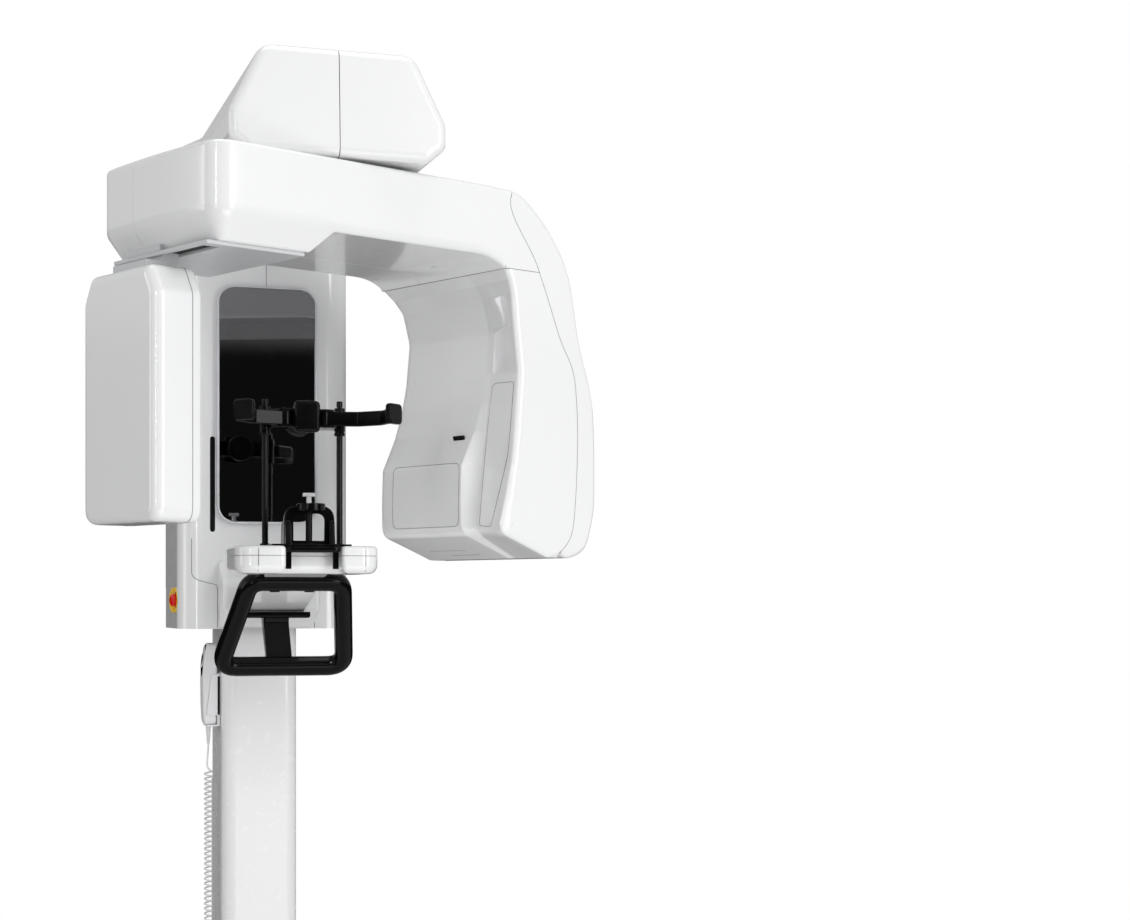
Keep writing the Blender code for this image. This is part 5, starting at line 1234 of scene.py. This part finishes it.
def tube_face(y):
    """The tube head's patient side at one y, as (u, w) pairs: front, slanted panel, wall, bulge."""
    to_panel = min(1.0, max(0.0, (y - panel_front) / (panel_back - panel_front)))
    evenly = min(1.0, max(0.0, (y - panel_back) / (wall_back - panel_back)))
    to_bulge = 0.5 * eased(panel_back, wall_back, y) + 0.5 * evenly
    drawn = []
    for front, panel, bulge in zip(*faces):
        u = front[0] + (panel[0] - front[0]) * to_panel
        w = front[1] + (panel[1] - front[1]) * to_panel
        drawn.append((u + (bulge[0] - panel[0]) * to_bulge, w + (bulge[1] - panel[1]) * to_bulge))
    return drawn


def on_tube(y, w):
    """A point on the tube head's patient side."""
    profile = sorted((height, u) for u, height in tube_face(y))
    return (between(profile, w), y, w)


joint_line = smooth_route(seam, 5)
# The side edge is rounded most near the head's lower corner.
weights = [1.0 + 1.3 * eased(-0.50, -0.59, w) * eased(-0.640, -0.612, w) for u, w in faces[0]]
weights += [0.0] * (len(joint_line) - 1)
side_edge, rear_bend = 0.010, 0.026
across = (-0.150, -0.132, -0.113, -0.098, -0.090, -0.086, -0.084, -0.081, -0.078, -0.075, -0.072, -0.070)
across += (wall_back, -0.040, 0.0, 0.060, 0.120)
stations = [(-arm_side + drop, shrink) for drop, shrink in edge_steps(side_edge, 5)]
stations += [(y, 0.0) for y in across]
rings = []
for y, shrink in stations:
    ring = inset(tube_face(y) + joint_line[1:], shrink, weights)
    ring = [(ring[0][0], levels[0])] + [(u, min(w, levels[0])) for u, w in ring[1:]]
    rings.append([(u, y, w) for u, w in ring])
for drop, shrink in reversed(edge_steps(rear_bend, 9)):
    ring = []
    for u, w in tube_face(arm_side - drop):
        moved = shrink * (0.3 + 0.7 * eased(joint_height, -0.190, w)) if w > -0.3 else shrink
        ring.append((min(u + moved, max(u, 0.388)), w + 0.5 * shrink * eased(-0.590, -0.641, w)))
    ring += joint_line[1:]
    rings.append([(u, arm_side - drop, w) for u, w in ring])
tube_shell = skin("tube_head_shell", rings, arm_place)
fit("tube_head_shell", tube_shell, white_shell, "rotating_arm", ("tube_head_cover",))

furthest_back, joint_gap = 0.482, 0.0007
back = [(0.2850, -0.0022), (0.315, -0.013), (0.371, -0.062), (0.418, -0.136), (0.443, -0.250)]
back += [(0.475, -0.355), (furthest_back, -0.445), (furthest_back, -0.536), (0.472, -0.590)]
back += [(0.455, -0.626), (0.420, bottom), (0.398, -0.636)]
back_route = [(min(u, furthest_back), max(w, bottom)) for u, w in smooth_route(back, 5)]
joint_route = [(u + joint_gap, w) for u, w in joint_line]
joint_route += [(u + joint_gap, w) for w, u in tube_end[1:-1]]
weights = [0.4] + [1.0] * (len(back_route) - 2) + [0.4] + [0.0] * len(joint_route)
stations = [(-arm_side + drop, shrink) for drop, shrink in edge_steps(side_edge, 5)]
stations += [(arm_side - drop, shrink) for drop, shrink in reversed(edge_steps(side_edge, 5))]
rings = []
for y, shrink in stations:
    rings.append([(u, y, w) for u, w in inset(back_route + joint_route, shrink, weights)])
back_shell = skin("tube_head_back", rings, arm_place)
fit("tube_head_back", back_shell, white_shell, "rotating_arm", ("tube_head_back_shell",))

seam_level = -0.1393
down = [(0.3455, seam_level)] + [(u, w) for w, u in tube_end[2:-1]]
routes = []
for line in (joint_line, down):
    routes += [[(u, side, w) for u, w in line] for side in (-arm_side, arm_side)]
collar = [(tube_joint, -arm_side), (0.282, -arm_side), (0.274, -0.178), (0.2705, -0.171)]
collar += [(0.2720, 0.167), (0.285, arm_side), (tube_joint, arm_side)]
routes.append([(u, y, seam_level) for u, y in collar])
window = oblong(-0.062, -0.472, 0.131, -0.585, 0.014)
shaped = [(-0.094, -0.330, 0.012), (-0.164, -0.333, 0.006), (-0.162, -0.460, 0.080)]
shaped += [(-0.142, -0.588, 0.016), (-0.093, -0.584, 0.008)]
for outline in (rounded(window, 6), rounded(shaped, 6)):
    drawn = []
    for (y, w), (next_y, next_w) in zip(outline, outline[1:] + outline[:1]):
        drawn += [on_tube(y + (next_y - y) * i / 4, w + (next_w - w) * i / 4) for i in range(4)]
    routes.append(drawn + drawn[:1])
seam_line("tube_head_seams", routes, "rotating_arm", 0.0005, arm_place)


def on_tube_floor(u):
    """The (u, w) of a point on the slanted floor of the tube head."""
    t = min(1.0, (u - on_patient[-1]) / (floor_end - on_patient[-1]))
    return u, levels[-1] + (bottom - levels[-1]) * t


routes = [
    [(*on_tube_floor(0.330), 0.110), (*on_tube_floor(0.330), 0.010), (*on_tube_floor(0.386), -0.045)],
    [(*on_tube_floor(0.350), 0.070), (*on_tube_floor(0.350), -0.010)],
]
routes = [[(u, y, w) for u, w, y in route] for route in routes]
seam_line("tube_head_marks", routes, "rotating_arm", 0.0005, arm_place)
laser_lean = math.radians(-112.0)
laser_place = Matrix.Translation(on_tube(-0.0345, -0.4285)) @ Matrix.Rotation(laser_lean, 4, "Y")
laser = oblong(-0.0075, -0.0155, 0.0075, 0.0155, 0.003)
laser = slab("laser_window", laser, -0.0020, 0.0008, 0.0002, 0.0004, arm_place @ laser_place, 2)
fit("laser_window", laser, dark_window, "rotating_arm", rounding=None)

# ---------------------------------------------------------------- sensor head
# A flat x-ray detector in a two-part white case, hung from a grey moulded carrier that runs in the
# arm's track. Its top corners are cut back and its outer edges are well rounded.
sensor_out, sensor_in = -0.354, -0.267
sensor_front, sensor_back = -0.060, 0.175
sensor_low, sensor_high = -0.592, -0.181
case_joint = -0.285
carry_over("flat_panel_detector", cast_alloy, 0.0006, 1)
carry_over("sensor_carrier", track_grey, 0.0008)
case = [(sensor_front, sensor_low, 0.026), (sensor_back, sensor_low, 0.026)]
case += [(sensor_back, sensor_high - 0.044, 0.030), (sensor_back - 0.025, sensor_high, 0.018)]
case += [(sensor_front + 0.025, sensor_high, 0.018), (sensor_front, sensor_high - 0.044, 0.030)]
seam_half = 0.0004
outer = slab("sensor_case", case, sensor_out, case_joint - seam_half, 0.0180, 0.0005, arm_place @ SIDEWAYS, 7)
fit("sensor_case", outer, white_shell, "sensor_head", ("sensor_cover_outer",))
lid = slab("sensor_lid", case, case_joint + seam_half, sensor_in, 0.0005, 0.0070, arm_place @ SIDEWAYS, 5)
fit("sensor_lid", lid, white_shell, "sensor_head", ("sensor_cover_inner",))
route = [(case_joint, y, w) for y, w in rounded(case, 6)]
seam_line("sensor_case_seam", [route + route[:1]], "sensor_head", 0.0005, arm_place)
